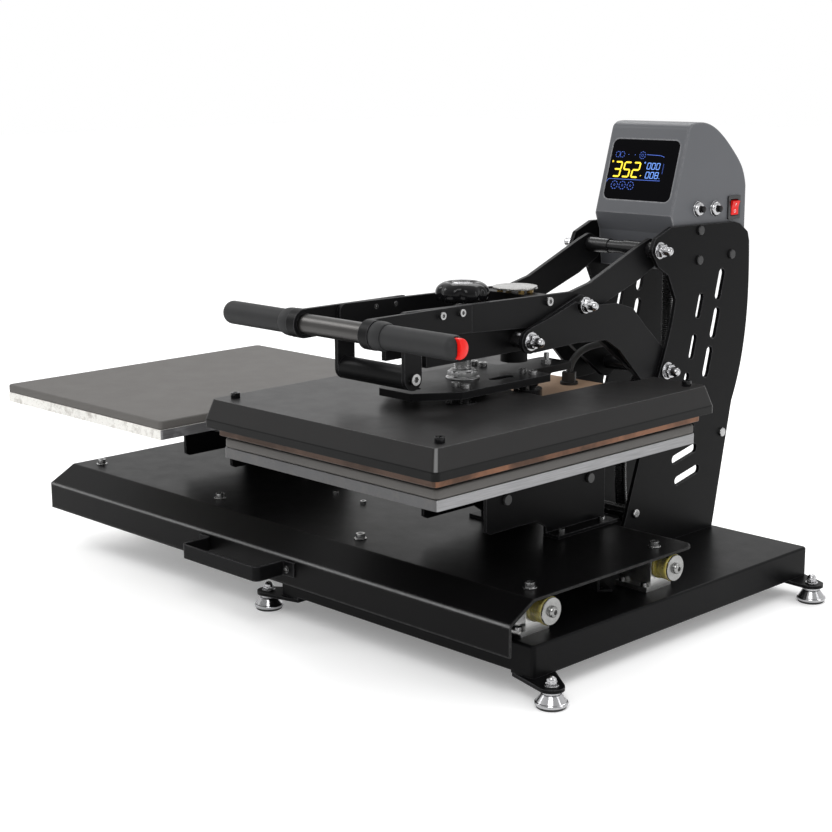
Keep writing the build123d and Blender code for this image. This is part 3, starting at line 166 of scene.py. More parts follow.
# Studio: pale floor, soft sky and soft boxes
studio = {
    "floorHalf": 14.0,
    "floorColor": (0.93, 0.93, 0.93, 1),
    "floorGlow": 0.22,
    "skyColor": (1.0, 1.0, 1.0, 1),
    "skyToward": (-0.62, 0.66, 0.42),  # brightest part of the sky, behind and above
    "skyDim": 0.42,
    "skyBright": 1.0,
    "horizonLow": 0.04,  # sines of the elevations between which the bright horizon fades out
    "horizonHigh": 0.30,
    "boxes": (
        ("keyBox", (1.5, -1.9, 2.6), (0.0, 0.0, 0.35), (1.5, 1.5), 40),
        ("sideBox", (2.9, 1.2, 1.2), (0.1, 0.1, 0.3), (0.6, 1.8), 12),
        ("leftBox", (-2.6, -1.2, 2.4), (-0.3, 0.0, 0.3), (1.2, 1.2), 24),
        ("topBox", (-0.9, 1.9, 2.6), (0.0, 0.2, 0.2), (2.6, 1.2), 36),
    ),
}


def makeStudio():
    half = studio["floorHalf"]
    mesh = bpy.data.meshes.new("studioFloor")
    corners = [(-half, -half, 0), (half, -half, 0), (half, half, 0), (-half, half, 0)]
    mesh.from_pydata(corners, [], [(0, 1, 2, 3)])
    floor = bpy.data.objects.new("studioFloor", mesh)
    bpy.context.collection.objects.link(floor)
    material = bpy.data.materials.new("floorPaper")
    material.use_nodes = True
    shader = material.node_tree.nodes["Principled BSDF"]
    feedAll(material.node_tree, shader, {
        "Base Color": studio["floorColor"], "Roughness": 0.9, "Specular IOR Level": 0.1,
        "Emission Color": studio["floorColor"], "Emission Strength": studio["floorGlow"]})
    mesh.materials.append(material)
    world = bpy.data.worlds.new("studioSky")
    world.use_nodes = True
    sky = world.node_tree.nodes["Background"]
    sky.inputs["Color"].default_value = studio["skyColor"]
    tree = world.node_tree
    outward = tree.nodes.new("ShaderNodeTexCoord").outputs["Generated"]
    toward = vectorCalc(tree, "DOT_PRODUCT", outward, studio["skyToward"])
    fade = mapRange(tree, toward, -1.0, 0.6, studio["skyDim"], studio["skyBright"], "SMOOTHSTEP")
    level = axisOf(tree, outward, "Z")
    low, high, bright = (studio[key] for key in ("horizonLow", "horizonHigh", "skyBright"))
    band = mapRange(tree, level, low, high, bright, 0.0, "SMOOTHSTEP")
    tree.links.new(calc(tree, "MAXIMUM", band, fade), sky.inputs["Strength"])
    bpy.context.scene.view_settings.view_transform = "Standard"
    bpy.context.scene.world = world
    for name, spot, aim, size, power in studio["boxes"]:
        data = bpy.data.lights.new(name, "AREA")
        data.shape = "RECTANGLE"
        data.size, data.size_y = size
        data.energy = power
        lamp = bpy.data.objects.new(name, data)
        bpy.context.collection.objects.link(lamp)
        lamp.location = Vector(spot) + Vector(home)
        lamp.rotation_euler = (Vector(aim) - Vector(spot)).to_track_quat("-Z", "Y").to_euler()


makeStudio()
print("studio set")


# Node groups shared by the materials
def newGroup(name, inputs, outputs):
    group = bpy.data.node_groups.new(name, "ShaderNodeTree")
    for label, kind, value in inputs:
        socket = group.interface.new_socket(label, in_out="INPUT", socket_type=f"NodeSocket{kind}")
        socket.default_value = value
    for label, kind in outputs:
        group.interface.new_socket(label, in_out="OUTPUT", socket_type=f"NodeSocket{kind}")
    return group, group.nodes.new("NodeGroupInput"), group.nodes.new("NodeGroupOutput")


def makeSkinGroup():
    # broad tone, smudges in the gloss and fine grain in the height
    tree, start, end = newGroup(
        "surfaceSkin",
        [("Color", "Color", (0.5, 0.5, 0.5, 1)), ("Tone", "Float", 0.1), ("Roughness", "Float", 0.4),
         ("Smudge", "Float", 0.1), ("Grain Scale", "Float", 900.0), ("Broad Scale", "Float", 7.0)],
        [("Color", "Color"), ("Roughness", "Float"), ("Height", "Float")],
    )
    vector = objectVector(tree)
    broad = noise(tree, vector, start.outputs["Broad Scale"], 3.0)
    fine = noise(tree, vector, start.outputs["Grain Scale"], 2.0)
    smudge = noise(tree, vector, 23.0, 5.0, 0.65)
    # colour times 1 + tone * (broad + fine - 1)
    both = calc(tree, "SUBTRACT", calc(tree, "ADD", broad, fine), 1.0)
    swing = calc(tree, "ADD", calc(tree, "MULTIPLY", start.outputs["Tone"], both), 1.0)
    tree.links.new(vectorCalc(tree, "SCALE", start.outputs["Color"], swing), end.inputs["Color"])
    lift = calc(tree, "MULTIPLY", start.outputs["Smudge"], calc(tree, "SUBTRACT", smudge, 0.5))
    tree.links.new(calc(tree, "ADD", start.outputs["Roughness"], lift, True), end.inputs["Roughness"])
    tree.links.new(fine, end.inputs["Height"])
    return tree


def makeEdgeGroup():
    # mask that is 1 along edges, from how far the rounded normal leans from the flat one; it lightens the edges
    # both as wear broken by chips and as a painted highlight
    tree, start, end = newGroup(
        "edgeWearAndHighlight",
        [("Radius", "Float", 0.001), ("Amount", "Float", 1.0)],
        [("Mask", "Float")],
    )
    flat = tree.nodes.new("ShaderNodeNewGeometry").outputs["Normal"]
    dot = vectorCalc(tree, "DOT_PRODUCT", roundedNormal(tree, start.outputs["Radius"]), flat)
    lean = mapRange(tree, calc(tree, "SUBTRACT", 1.0, dot), 0.02, 0.25, 0.0, 1.0)
    chips = mapRange(tree, noise(tree, objectVector(tree), 160.0, 4.0, 0.7), 0.35, 0.7, 0.35, 1.0)
    wornAndLit = calc(tree, "MULTIPLY", lean, chips)
    tree.links.new(calc(tree, "MULTIPLY", wornAndLit, start.outputs["Amount"], True), end.inputs["Mask"])
    return tree


def makeBrushGroup():
    # fine streaks: noise stretched along the direction whose scale is small
    tree, start, end = newGroup(
        "brushLines",
        [("Stretch", "Vector", (4.0, 900.0, 900.0))],
        [("Height", "Float"), ("Tone", "Float")],
    )
    stretched = vectorCalc(tree, "MULTIPLY", objectVector(tree), start.outputs["Stretch"])
    line = noise(tree, stretched, 1.0, 3.0, 0.6)
    tree.links.new(line, end.inputs["Height"])
    tree.links.new(mapRange(tree, line, 0.3, 0.7, 0.85, 1.15), end.inputs["Tone"])
    return tree


def makeTurnedGroup():
    # lathe rings: a sine of the distance from an upright axis
    tree, start, end = newGroup(
        "turnedRings",
        [("Centre", "Vector", (0.0, 0.0, 0.0)), ("Pitch", "Float", 0.0006)],
        [("Height", "Float")],
    )
    away = vectorCalc(tree, "SUBTRACT", objectVector(tree), start.outputs["Centre"])
    distance = vectorCalc(tree, "LENGTH", vectorCalc(tree, "MULTIPLY", away, (1, 1, 0)))
    turns = calc(tree, "DIVIDE", distance, start.outputs["Pitch"])
    tree.links.new(calc(tree, "SINE", calc(tree, "MULTIPLY", turns, 2 * math.pi)), end.inputs["Height"])
    return tree


skinGroup = makeSkinGroup()
edgeGroup = makeEdgeGroup()
brushGroup = makeBrushGroup()
turnedGroup = makeTurnedGroup()


def groupNode(tree, group, **values):
    node = tree.nodes.new("ShaderNodeGroup")
    node.node_tree = group
    for label, value in values.items():
        node.inputs[label].default_value = value
    return node


def skinNode(tree, color, tone, rough, smudge, grain):
    node = groupNode(tree, skinGroup, Color=(*color, 1), Tone=tone, Roughness=rough, Smudge=smudge)
    node.inputs["Grain Scale"].default_value = grain
    return node


# One finish per real surface: colour, colour of its edges (wear with a painted highlight), gloss, grain and how
# strongly the edges are worn and lit by the painted highlight
coatColumns = ("color", "edgeWearHighlightColor", "tone", "rough", "smudge", "grain", "bump", "rub", "rounding")
coatRows = {
    "powderBlack": ((0.0034, 0.0034, 0.0037), (0.11, 0.11, 0.115), 0.35, 0.36, 0.16, 1500, 0.05, 0.9, 0.0012),
    "deckBlack": ((0.0034, 0.0033, 0.0035), (0.10, 0.10, 0.10), 0.35, 0.33, 0.18, 1500, 0.05, 0.9, 0.0050),
    "coverBlack": ((0.0165, 0.0160, 0.0160), (0.17, 0.17, 0.17), 0.3, 0.38, 0.16, 1700, 0.05, 1.0, 0.0010),
    "armBlack": ((0.0050, 0.0050, 0.0054), (0.10, 0.10, 0.105), 0.35, 0.40, 0.16, 1500, 0.06, 0.9, 0.0010),
    "boxGrey": ((0.084, 0.087, 0.095), (0.42, 0.42, 0.43), 0.12, 0.42, 0.12, 1800, 0.05, 1.0, 0.0014),
    "gripRubber": ((0.0125, 0.0128, 0.0135), (0.06, 0.06, 0.06), 0.25, 0.62, 0.14, 2600, 0.14, 0.15, 0.0006),
    "knobPlastic": ((0.005, 0.005, 0.0055), (0.03, 0.03, 0.03), 0.2, 0.10, 0.10, 900, 0.01, 0.1, 0.0012),
    "switchBlack": ((0.012, 0.012, 0.013), (0.05, 0.05, 0.05), 0.2, 0.32, 0.1, 2400, 0.04, 0.2, 0.0005),
    "signalRed": ((0.66, 0.008, 0.005), (0.7, 0.08, 0.07), 0.08, 0.30, 0.08, 1500, 0.02, 0.1, 0.0006),
    "boardBeige": ((0.36, 0.235, 0.15), (0.5, 0.4, 0.3), 0.35, 0.8, 0.1, 420, 0.35, 0.2, 0.0008),
    "boardGreen": ((0.02, 0.12, 0.05), (0.1, 0.2, 0.1), 0.3, 0.4, 0.1, 900, 0.05, 0.1, 0.0004),
    "conduitBlack": ((0.009, 0.009, 0.0095), (0.05, 0.05, 0.05), 0.25, 0.28, 0.14, 1600, 0.03, 0.0, 0.0002),
    "shaftBlack": ((0.010, 0.010, 0.0105), (0.10, 0.10, 0.10), 0.2, 0.26, 0.12, 1400, 0.02, 0.2, 0.0006),
    "cableBlack": ((0.012, 0.012, 0.012), (0.05, 0.05, 0.05), 0.25, 0.5, 0.14, 1800, 0.1, 0.1, 0.0004),
    "markWhite": ((0.8, 0.8, 0.8), (0.8, 0.8, 0.8), 0.05, 0.4, 0.05, 2000, 0.02, 0.0, 0.0002),
}
# level is the strength of the mirror light, spread the width of the worn edge with its painted highlight in
# roundings, and each of the bends a direction and the colour of the painted highlight that a bend turned that
# way gets
coatExtras = {
    "powderBlack": dict(level=0.06, spread=2.0),
    "deckBlack": dict(level=0.06, spread=1.1, bends=[((0.0, -0.90, 0.436), (0.30, 0.30, 0.30, 1))]),
    # below shadeBandTop the cover is painted shade, near black, for the shadowed gap under its edge
    "coverBlack": dict(level=0.13, spread=1.8, shadeBandTop=0.3155, shadeBandColor=(0.0022, 0.0022, 0.0022, 1), bends=[
        ((0.66, -0.66, 0.36), (0.13, 0.13, 0.13, 1)), ((0.0, -0.50, 0.866), (0.10, 0.10, 0.10, 1)),
        ((0.50, 0.0, 0.866), (0.06, 0.06, 0.06, 1))]),
    "armBlack": dict(level=0.09, spread=2.0),
    "boxGrey": dict(level=0.3, spread=3.4),
    "gripRubber": dict(level=0.3),
    "knobPlastic": dict(level=0.16),
    "signalRed": dict(level=0.2),
    "shaftBlack": dict(level=0.3),
}

metalColumns = ("color", "stretch", "tone", "rough", "smudge", "grain", "bump", "line", "rounding")
metalRows = {
    "chrome": ((0.44, 0.44, 0.45), (500.0, 500.0, 30.0), 0.08, 0.22, 0.10, 700, 0.004, 0.006, 0.0008),
    "zinc": ((0.36, 0.36, 0.36), (300.0, 300.0, 300.0), 0.16, 0.24, 0.2, 1200, 0.05, 0.03, 0.0004),
    "shaftSteel": ((0.62, 0.62, 0.63), (6.0, 900.0, 900.0), 0.1, 0.16, 0.12, 800, 0.01, 0.05, 0.0004),
    "blockAluminium": ((0.70, 0.70, 0.69), (900.0, 14.0, 900.0), 0.12, 0.34, 0.14, 900, 0.03, 0.12, 0.0006),
    "tubeGrey": ((0.068, 0.066, 0.064), (8.0, 900.0, 900.0), 0.18, 0.33, 0.16, 1500, 0.04, 0.05, 0.0006),
    "strikeSteel": ((0.36, 0.355, 0.345), (900.0, 900.0, 900.0), 0.06, 0.20, 0.06, 900, 0.006, 0.006, 0.0006),
    "threadSteel": ((0.50, 0.50, 0.50), (500.0, 500.0, 500.0), 0.08, 0.36, 0.08, 1100, 0.01, 0.01, 0.0006),
    "washerSteel": ((0.27, 0.27, 0.265), (300.0, 60.0, 60.0), 0.25, 0.26, 0.16, 1100, 0.03, 0.03, 0.0008),
    "brass": ((0.55, 0.38, 0.15), (300.0, 300.0, 300.0), 0.15, 0.3, 0.15, 900, 0.03, 0.03, 0.0004),
}
metals = {name: dict(zip(metalColumns, row)) for name, row in metalRows.items()}


def newMaterial(name):
    material = bpy.data.materials.new(name)
    material.use_nodes = True
    tree = material.node_tree
    tree.nodes.clear()
    output = tree.nodes.new("ShaderNodeOutputMaterial")
    shader = tree.nodes.new("ShaderNodeBsdfPrincipled")
    tree.links.new(shader.outputs[0], output.inputs[0])
    return material, tree, shader


def bumpOver(tree, shader, height, strength, rounding):
    # grain in the height, laid over a normal that is rounded at the edges
    bump = tree.nodes.new("ShaderNodeBump")
    feedAll(tree, bump, {"Strength": strength, "Distance": 0.0006, "Height": height,
                         "Normal": roundedNormal(tree, rounding)})
    tree.links.new(bump.outputs["Normal"], shader.inputs["Normal"])


def beyond(tree, axis, limit, middle=None):
    # 1 where the object coordinate, or its distance from middle, is past the limit
    value = axisOf(tree, objectVector(tree), axis)
    if middle is not None:
        value = calc(tree, "ABSOLUTE", calc(tree, "SUBTRACT", value, middle))
    return calc(tree, "GREATER_THAN", value, limit)


def highlightFacing(tree, direction, radius):
    # 1 where the normal, rounded over that radius, turns through the direction in a bend; it places a painted
    # highlight there
    dot = vectorCalc(tree, "DOT_PRODUCT", roundedNormal(tree, radius), direction)
    return mapRange(tree, dot, 0.94, 0.985, 0.0, 1.0)


def coatMaterial(name):
    finish = dict(zip(coatColumns, coatRows[name]), **coatExtras.get(name, {}))
    material, tree, shader = newMaterial(name)
    skin = skinNode(tree, *(finish[key] for key in ("color", "tone", "rough", "smudge", "grain")))
    reach = finish["rounding"] * finish.get("spread", 1.4)
    # the edges are mixed towards their edge colour: wear, and a painted highlight along them
    rub = groupNode(tree, edgeGroup, Radius=reach, Amount=finish["rub"])
    color = mixColor(tree, rub.outputs["Mask"], skin.outputs["Color"], (*finish["edgeWearHighlightColor"], 1))
    # painted highlights: bends turned towards each given direction take a lighter colour
    for direction, highlightColor in finish.get("bends", ()):
        color = mixColor(tree, highlightFacing(tree, direction, finish["rounding"] * 1.2), color, highlightColor)
    # painted shade: below the band top the colour turns near black, as the shadowed gap under the cover
    if "shadeBandTop" in finish:
        color = mixColor(tree, beyond(tree, "Z", finish["shadeBandTop"]), finish["shadeBandColor"], color)
    feedAll(tree, shader, {"Base Color": color, "Roughness": skin.outputs["Roughness"],
                           "Specular IOR Level": finish.get("level", 0.5)})
    bumpOver(tree, shader, skin.outputs["Height"], finish["bump"], finish["rounding"])
    return material


def metalMaterial(name, finish, rings=None, painted=None):
    # rings are the middle, pitch and height of lathe marks; painted gives the axis, the limit and if
    # need be the middle of what lies under black paint
    material, tree, shader = newMaterial(name)
    shader.inputs["Metallic"].default_value = 1.0
    skin = skinNode(tree, *(finish[key] for key in ("color", "tone", "rough", "smudge", "grain")))
    brush = groupNode(tree, brushGroup, Stretch=finish["stretch"])
    color = vectorCalc(tree, "SCALE", skin.outputs["Color"], brush.outputs["Tone"])
    gloss = skin.outputs["Roughness"]
    if painted is not None:
        mask = beyond(tree, *painted)
        color = mixColor(tree, mask, color, finish.get("paint", (0.008, 0.008, 0.0085, 1)))
        gloss = calc(tree, "ADD", gloss, calc(tree, "MULTIPLY", mask, finish.get("paintRough", 0.2)), True)
        tree.links.new(mapRange(tree, mask, 0.0, 1.0, 1.0, 0.0), shader.inputs["Metallic"])
    feedAll(tree, shader, {"Base Color": color, "Roughness": gloss})
    height = calc(tree, "ADD", calc(tree, "MULTIPLY", skin.outputs["Height"], finish["bump"] * 4),
                   calc(tree, "MULTIPLY", brush.outputs["Height"], finish["line"] * 4))
    if rings is not None:
        turned = groupNode(tree, turnedGroup, Centre=rings[0], Pitch=rings[1])
        height = calc(tree, "ADD", height, calc(tree, "MULTIPLY", turned.outputs["Height"], rings[2]))
    bumpOver(tree, shader, height, 0.25, finish["rounding"])
    return material


surfaces = {name: coatMaterial(name) for name in coatRows}
surfaces.update({name: metalMaterial(name, finish) for name, finish in metals.items()})
print("materials made", len(surfaces))


# Finishes that need a pattern of their own
platenEdges = {
    # the right platen is machined all round: its darker front colour is painted shade and its lighter sides
    # colour painted light
    "rightPlaten": {"color": (0.095, 0.095, 0.097), "cast": 0.12, "rough": 0.38, "sides": (0.25, 0.25, 0.255)},
    "leftPlaten": {"color": (0.74, 0.73, 0.70), "cast": 0.60, "rough": 0.50, "sides": (0.20, 0.20, 0.205)},
    "stainColor": (0.20, 0.17, 0.14, 1),
    "stainScale": 55.0,
    "pitScale": 420.0,
}


def castMaterial(name, look):
    # aluminium edge: blotches of stain, small pits and a fine grain; the faces square to X take the sides
    # colour, sawn clean on the left platen and painted light on the right one
    material, tree, shader = newMaterial(name)
    vector = objectVector(tree)
    skin = skinNode(tree, look["color"], 0.16, look["rough"], 0.2, 700)
    blotch = noise(tree, vector, platenEdges["stainScale"], 6.0, 0.72)
    stain = mapRange(tree, blotch, 0.50, 0.68, 0.0, look["cast"])
    pitting = noise(tree, vector, platenEdges["pitScale"], 3.0, 0.6)
    pits = mapRange(tree, pitting, 0.60, 0.72, 0.0, look["cast"])
    spots = calc(tree, "MAXIMUM", stain, pits)
    color = mixColor(tree, spots, skin.outputs["Color"], platenEdges["stainColor"])
    streak = groupNode(tree, brushGroup, Stretch=(900.0, 22.0, 700.0)).outputs["Tone"]
    color = mixColor(tree, squareTo(tree, "X"), color, vectorCalc(tree, "SCALE", look["sides"], streak))
    gloss = calc(tree, "ADD", skin.outputs["Roughness"], calc(tree, "MULTIPLY", spots, 0.4), True)
    metallic = mapRange(tree, spots, 0.0, 0.6, 1.0, 0.35)
    feedAll(tree, shader, {"Base Color": color, "Metallic": metallic, "Roughness": gloss})
    height = calc(tree, "SUBTRACT", skin.outputs["Height"], calc(tree, "MULTIPLY", spots, 1.6))
    bumpOver(tree, shader, height, 0.30, 0.0008)
    return material


heaterEdge = {"color": (0.20, 0.088, 0.045, 1), "scorchAndShade": (0.045, 0.028, 0.020, 1), "rough": 0.46,
              "coat": (0.030, 0.029, 0.028, 1), "coatTop": float(platenLow.z) + 0.0006}


def heaterMaterial():
    # heat-tinted aluminium edge, brown with darker scorch clouds, its faces square to Y darkened as painted
    # shade, and a dark non-stick coat under it
    material, tree, shader = newMaterial("heaterEdge")
    vector = objectVector(tree)
    cloud = mapRange(tree, noise(tree, vector, 16.0, 4.0, 0.6), 0.42, 0.62, 0.0, 0.75)
    color = mixColor(tree, cloud, heaterEdge["color"], heaterEdge["scorchAndShade"])
    grain = noise(tree, vector, 800.0, 3.0)
    bare = beyond(tree, "Z", heaterEdge["coatTop"])
    # painted shade: the faces square to Y are mixed most of the way to the scorch colour
    color = mixColor(tree, calc(tree, "MULTIPLY", squareTo(tree, "Y"), 0.85), color, heaterEdge["scorchAndShade"])
    color = mixColor(tree, bare, heaterEdge["coat"], color)
    gloss = mapRange(tree, cloud, 0.0, 0.75, heaterEdge["rough"], 0.62)
    metallic = mapRange(tree, bare, 0.0, 1.0, 0.0, 0.55)
    feedAll(tree, shader, {"Base Color": color, "Metallic": metallic, "Roughness": gloss})
    bumpOver(tree, shader, grain, 0.10, 0.0010)
    return material


glassLook = {"color": (0.0012, 0.0012, 0.0016, 1), "rough": 0.045}


def glassMaterial():
    # black back-painted glass under a clear coat, with the faintest finger haze
    material, tree, shader = newMaterial("displayGlass")
    smear = noise(tree, objectVector(tree), 30.0, 5.0, 0.7)
    haze = mapRange(tree, smear, 0.4, 0.75, glassLook["rough"], 0.11)
    tone = mixColor(tree, noise(tree, objectVector(tree), 12.0), glassLook["color"], (0.003, 0.003, 0.004, 1))
    feedAll(tree, shader, {"Base Color": tone, "Roughness": haze, "Specular IOR Level": 0.03})
    bumpOver(tree, shader, haze, 0.01, 0.0008)
    return material


bumperLook = {"color": (0.50, 0.42, 0.09, 1), "deep": (0.15, 0.135, 0.07, 1), "transmission": 0.35}


def bumperMaterial():
    # cast polyurethane: amber, partly clear, with flow bands round it
    material, tree, shader = newMaterial("bumperAmber")
    vector = objectVector(tree)
    band = groupNode(tree, brushGroup, Stretch=(180.0, 25.0, 25.0))
    color = mixColor(tree, mapRange(tree, band.outputs["Height"], 0.35, 0.65, 0.0, 1.0), bumperLook["color"],
                     bumperLook["deep"])
    haze = mapRange(tree, noise(tree, vector, 90.0, 4.0), 0.3, 0.7, 0.18, 0.36)
    feedAll(tree, shader, {
        "Base Color": color, "Roughness": haze, "IOR": 1.49, "Transmission Weight": bumperLook["transmission"],
        "Subsurface Weight": 0.3, "Subsurface Radius": (0.006, 0.004, 0.001)})
    bumpOver(tree, shader, band.outputs["Height"], 0.05, 0.0008)
    return material


padLook = {"color": (0.078, 0.073, 0.068), "rough": 0.66, "weave": 3000.0}


def padMaterial():
    # moulded silicone: fine cloth print in the height, dusty broad tone
    material, tree, shader = newMaterial("siliconeTaupe")
    vector = objectVector(tree)
    skin = skinNode(tree, padLook["color"], 0.16, padLook["rough"], 0.18, 1100)
    skin.inputs["Broad Scale"].default_value = 5.0
    wave = vectorCalc(tree, "SINE", vectorCalc(tree, "SCALE", vector, padLook["weave"]))
    cloth = calc(tree, "MULTIPLY", axisOf(tree, wave, "X"), axisOf(tree, wave, "Y"))
    height = calc(tree, "ADD", calc(tree, "MULTIPLY", cloth, 0.3), skin.outputs["Height"])
    feedAll(tree, shader, {"Base Color": skin.outputs["Color"], "Roughness": skin.outputs["Roughness"]})
    bumpOver(tree, shader, height, 0.10, 0.0010)
    return material


def glowMaterial(name, color, strength):
    # lit display segment: a little brighter at its core than at its ends
    material, tree, shader = newMaterial(name)
    cell = mapRange(tree, noise(tree, objectVector(tree), 600.0, 2.0), 0.3, 0.7, 0.82, 1.0)
    feedAll(tree, shader, {
        "Base Color": (*(0.2 * part for part in color), 1),
        "Emission Color": vectorCalc(tree, "SCALE", color, cell), "Emission Strength": strength})
    return material


braidLook = {"dark": (0.010, 0.010, 0.010, 1), "light": (0.045, 0.045, 0.043, 1), "strands": 16.0,
             "pitch": 55.0}


def braidMaterial():
    # woven sleeve on the piece's own UV: two crossing sets of strands
    material, tree, shader = newMaterial("braidSleeve")
    spot = tree.nodes.new("ShaderNodeTexCoord").outputs["UV"]
    around = calc(tree, "MULTIPLY", axisOf(tree, spot, "X"), math.pi * braidLook["strands"])
    along = calc(tree, "MULTIPLY", axisOf(tree, spot, "Y"), math.pi * braidLook["pitch"])
    left = calc(tree, "SINE", calc(tree, "ADD", around, along))
    right = calc(tree, "SINE", calc(tree, "SUBTRACT", around, along))
    weave = mapRange(tree, calc(tree, "MULTIPLY", left, right), -1.0, 1.0, 0.0, 1.0)
    dust = mapRange(tree, noise(tree, objectVector(tree), 60.0, 4.0), 0.35, 0.7, 0.0, 0.5)
    tone = calc(tree, "MULTIPLY", weave, calc(tree, "ADD", dust, 0.4), True)
    color = mixColor(tree, tone, braidLook["dark"], braidLook["light"])
    feedAll(tree, shader, {"Base Color": color, "Roughness": mapRange(tree, weave, 0.0, 1.0, 0.65, 0.42)})
    bumpOver(tree, shader, weave, 0.5, 0.0004)
    return material


footLook = {"soleTop": 0.0032}


def footMaterial():
    # chromed foot, turned rings round it, on a black rubber sole
    material, tree, shader = newMaterial("footChrome")
    finish = metals["chrome"]
    level = axisOf(tree, objectVector(tree), "Z")
    sole = calc(tree, "LESS_THAN", level, footLook["soleTop"])
    skin = skinNode(tree, finish["color"], 0.1, 0.14, 0.18, finish["grain"])
    color = mixColor(tree, sole, skin.outputs["Color"], (0.012, 0.012, 0.012, 1))
    gloss = calc(tree, "ADD", skin.outputs["Roughness"], calc(tree, "MULTIPLY", sole, 0.5), True)
    metallic = mapRange(tree, sole, 0.0, 1.0, 1.0, 0.0)
    feedAll(tree, shader, {"Base Color": color, "Metallic": metallic, "Roughness": gloss})
    ring = calc(tree, "SINE", calc(tree, "MULTIPLY", level, 9000.0))
    bumpOver(tree, shader, calc(tree, "MULTIPLY", ring, 0.08), 0.25, 0.0008)
    return material


strikeCentre = tuple(place((0, 105, 0)))
knobCentre = tuple(place((0, 0, 0)))
paintLimits = {
    "baseZinc": ("Z", 0.478),  # buttons on top of the tower
    "deckZinc": ("Z", 0.145),  # screws of the stands
    "handleTube": ("X", 0.0705, float(home[0])),  # under the hoods of the grips
}
handlePaint = dict(metals["tubeGrey"], paintRough=0.25)
standPaint = dict(metals["zinc"], paint=(0.035, 0.035, 0.035, 1))
for name, finish in (("baseZinc", metals["zinc"]), ("deckZinc", standPaint), ("handleTube", handlePaint)):
    surfaces[name] = metalMaterial(name, finish, painted=paintLimits[name])
for name in ("rightPlaten", "leftPlaten"):
    surfaces[name] = castMaterial(name, platenEdges[name])
for name, color, strength in (("digitYellow", (1.0, 0.72, 0.02), 1.5), ("digitBlue", (0.16, 0.36, 1.0), 1.3),
                              ("iconBlue", (0.05, 0.13, 0.62), 1.0)):
    surfaces[name] = glowMaterial(name, color, strength)
surfaces.update({
    "heaterEdge": heaterMaterial(),
    "displayGlass": glassMaterial(),
    "bumperAmber": bumperMaterial(),
    "siliconeTaupe": padMaterial(),
    "footChrome": footMaterial(),
    "braidSleeve": braidMaterial(),
    "strikeDisc": metalMaterial("strikeDisc", metals["strikeSteel"], (strikeCentre, 0.0009, 0.10)),
    "capSpin": metalMaterial("capSpin", metals["chrome"], (knobCentre, 0.0007, 0.12)),
})

# Which finish each carried-over node wears
dress = {
    "powderBlack": ("base_tray", "foot_brackets", "latch_bracket", "tower_plates", "pull_handle",
                    "platen_stands"),
    "deckBlack": ("deck_plate",),
    "armBlack": ("lever_plates", "handle_plates", "arm_cheeks", "arm_frame", "front_crossbar", "lever_crossbar",
                 "hanger_plate", "head_posts", "toggle_links", "electromagnet"),
    "coverBlack": ("heater_cover",),
    "boxGrey": ("control_box",),
    "gripRubber": ("hand_grips",),
    "knobPlastic": ("pressure_knob",),
    "switchBlack": ("switch_bezel", "power_inlet", "fuse_cap_front", "fuse_cap_rear"),
    "signalRed": ("rocker_switch", "release_button"),
    "boardBeige": ("insulation_board",),
    "boardGreen": ("controller_board",),
    "cableBlack": ("cable_conduit", "heater_cable", "cable_gland"),
    "chrome": ("acorn_nuts", "fuse_holders", "bumper_bolts"),
    "footChrome": ("levelling_feet",),
    "capSpin": ("knob_cap",),
    "strikeDisc": ("strike_plate",),
    "baseZinc": ("base_screws",),
    "deckZinc": ("deck_screws",),
    "zinc": ("lever_screws", "front_pivot_shaft", "knee_studs", "head_bolts", "screw_collar", "tower_shafts"),
    "shaftSteel": ("guide_rails", "pressure_screw"),
    "blockAluminium": ("bearing_blocks", "rail_supports"),
    "handleTube": ("handle_tube",),
    "brass": ("strike_standoffs",),
    "rightPlaten": ("lower_platen_right",),
    "leftPlaten": ("lower_platen_left",),
    "heaterEdge": ("heated_platen",),
    "displayGlass": ("display_glass",),
    "bumperAmber": ("end_bumpers",),
    "siliconeTaupe": ("silicone_pad_right", "silicone_pad_left"),
}
for finish, wearers in dress.items():
    for wearer in wearers:
        for slot in nodes[wearer].material_slots:
            slot.material = surfaces[finish]
print("nodes dressed", sum(len(wearers) for wearers in dress.values()), "of", len(nodes))


# Mesh helpers: every new piece is one or more grids of points, each with its faces
def gridFaces(rows, columns, wrap=True):
    # quads between neighbouring rows; wrap joins the last column to the first
    row = np.arange(rows - 1)[:, None] * columns
    column = np.arange(columns if wrap else columns - 1)[None, :]
    beside = (column + 1) % columns
    quads = [row + column, row + beside, row + columns + beside, row + columns + column]
    return np.stack(quads, -1).reshape(-1, 4)


def addPiece(name, parts, finish, body, replaced=(), sharp=35.0, uvs=None):
    # joins the parts, closes seams and poles, and points the faces outwards
    points, quads, start = [], [], 0
    for grid, faces in parts:
        points.append(grid.reshape(-1, 3))
        quads.append(faces + start)
        start += len(points[-1])
    quads = np.concatenate(quads)
    mesh = bpy.data.meshes.new(name)
    mesh.from_pydata(place(np.concatenate(points)).tolist(), [], quads.tolist())
    if uvs is not None:
        layer = mesh.uv_layers.new(name="along")
        layer.data.foreach_set("uv", uvs[quads.ravel()].ravel())
    work = bmesh.new()
    work.from_mesh(mesh)
    bmesh.ops.remove_doubles(work, verts=work.verts, dist=1e-6)
    bmesh.ops.dissolve_degenerate(work, edges=work.edges, dist=1e-7)
    bmesh.ops.recalc_face_normals(work, faces=work.faces)
    work.to_mesh(mesh)
    work.free()
    mesh.polygons.foreach_set("use_smooth", np.ones(len(mesh.polygons), dtype=bool))
    mesh.set_sharp_from_angle(angle=math.radians(sharp))
    mesh.materials.append(surfaces[finish])
    piece = bpy.data.objects.new(name, mesh)
    bpy.context.collection.objects.link(piece)
    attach(piece, body)
    if replaced:
        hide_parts(*replaced)
    return piece


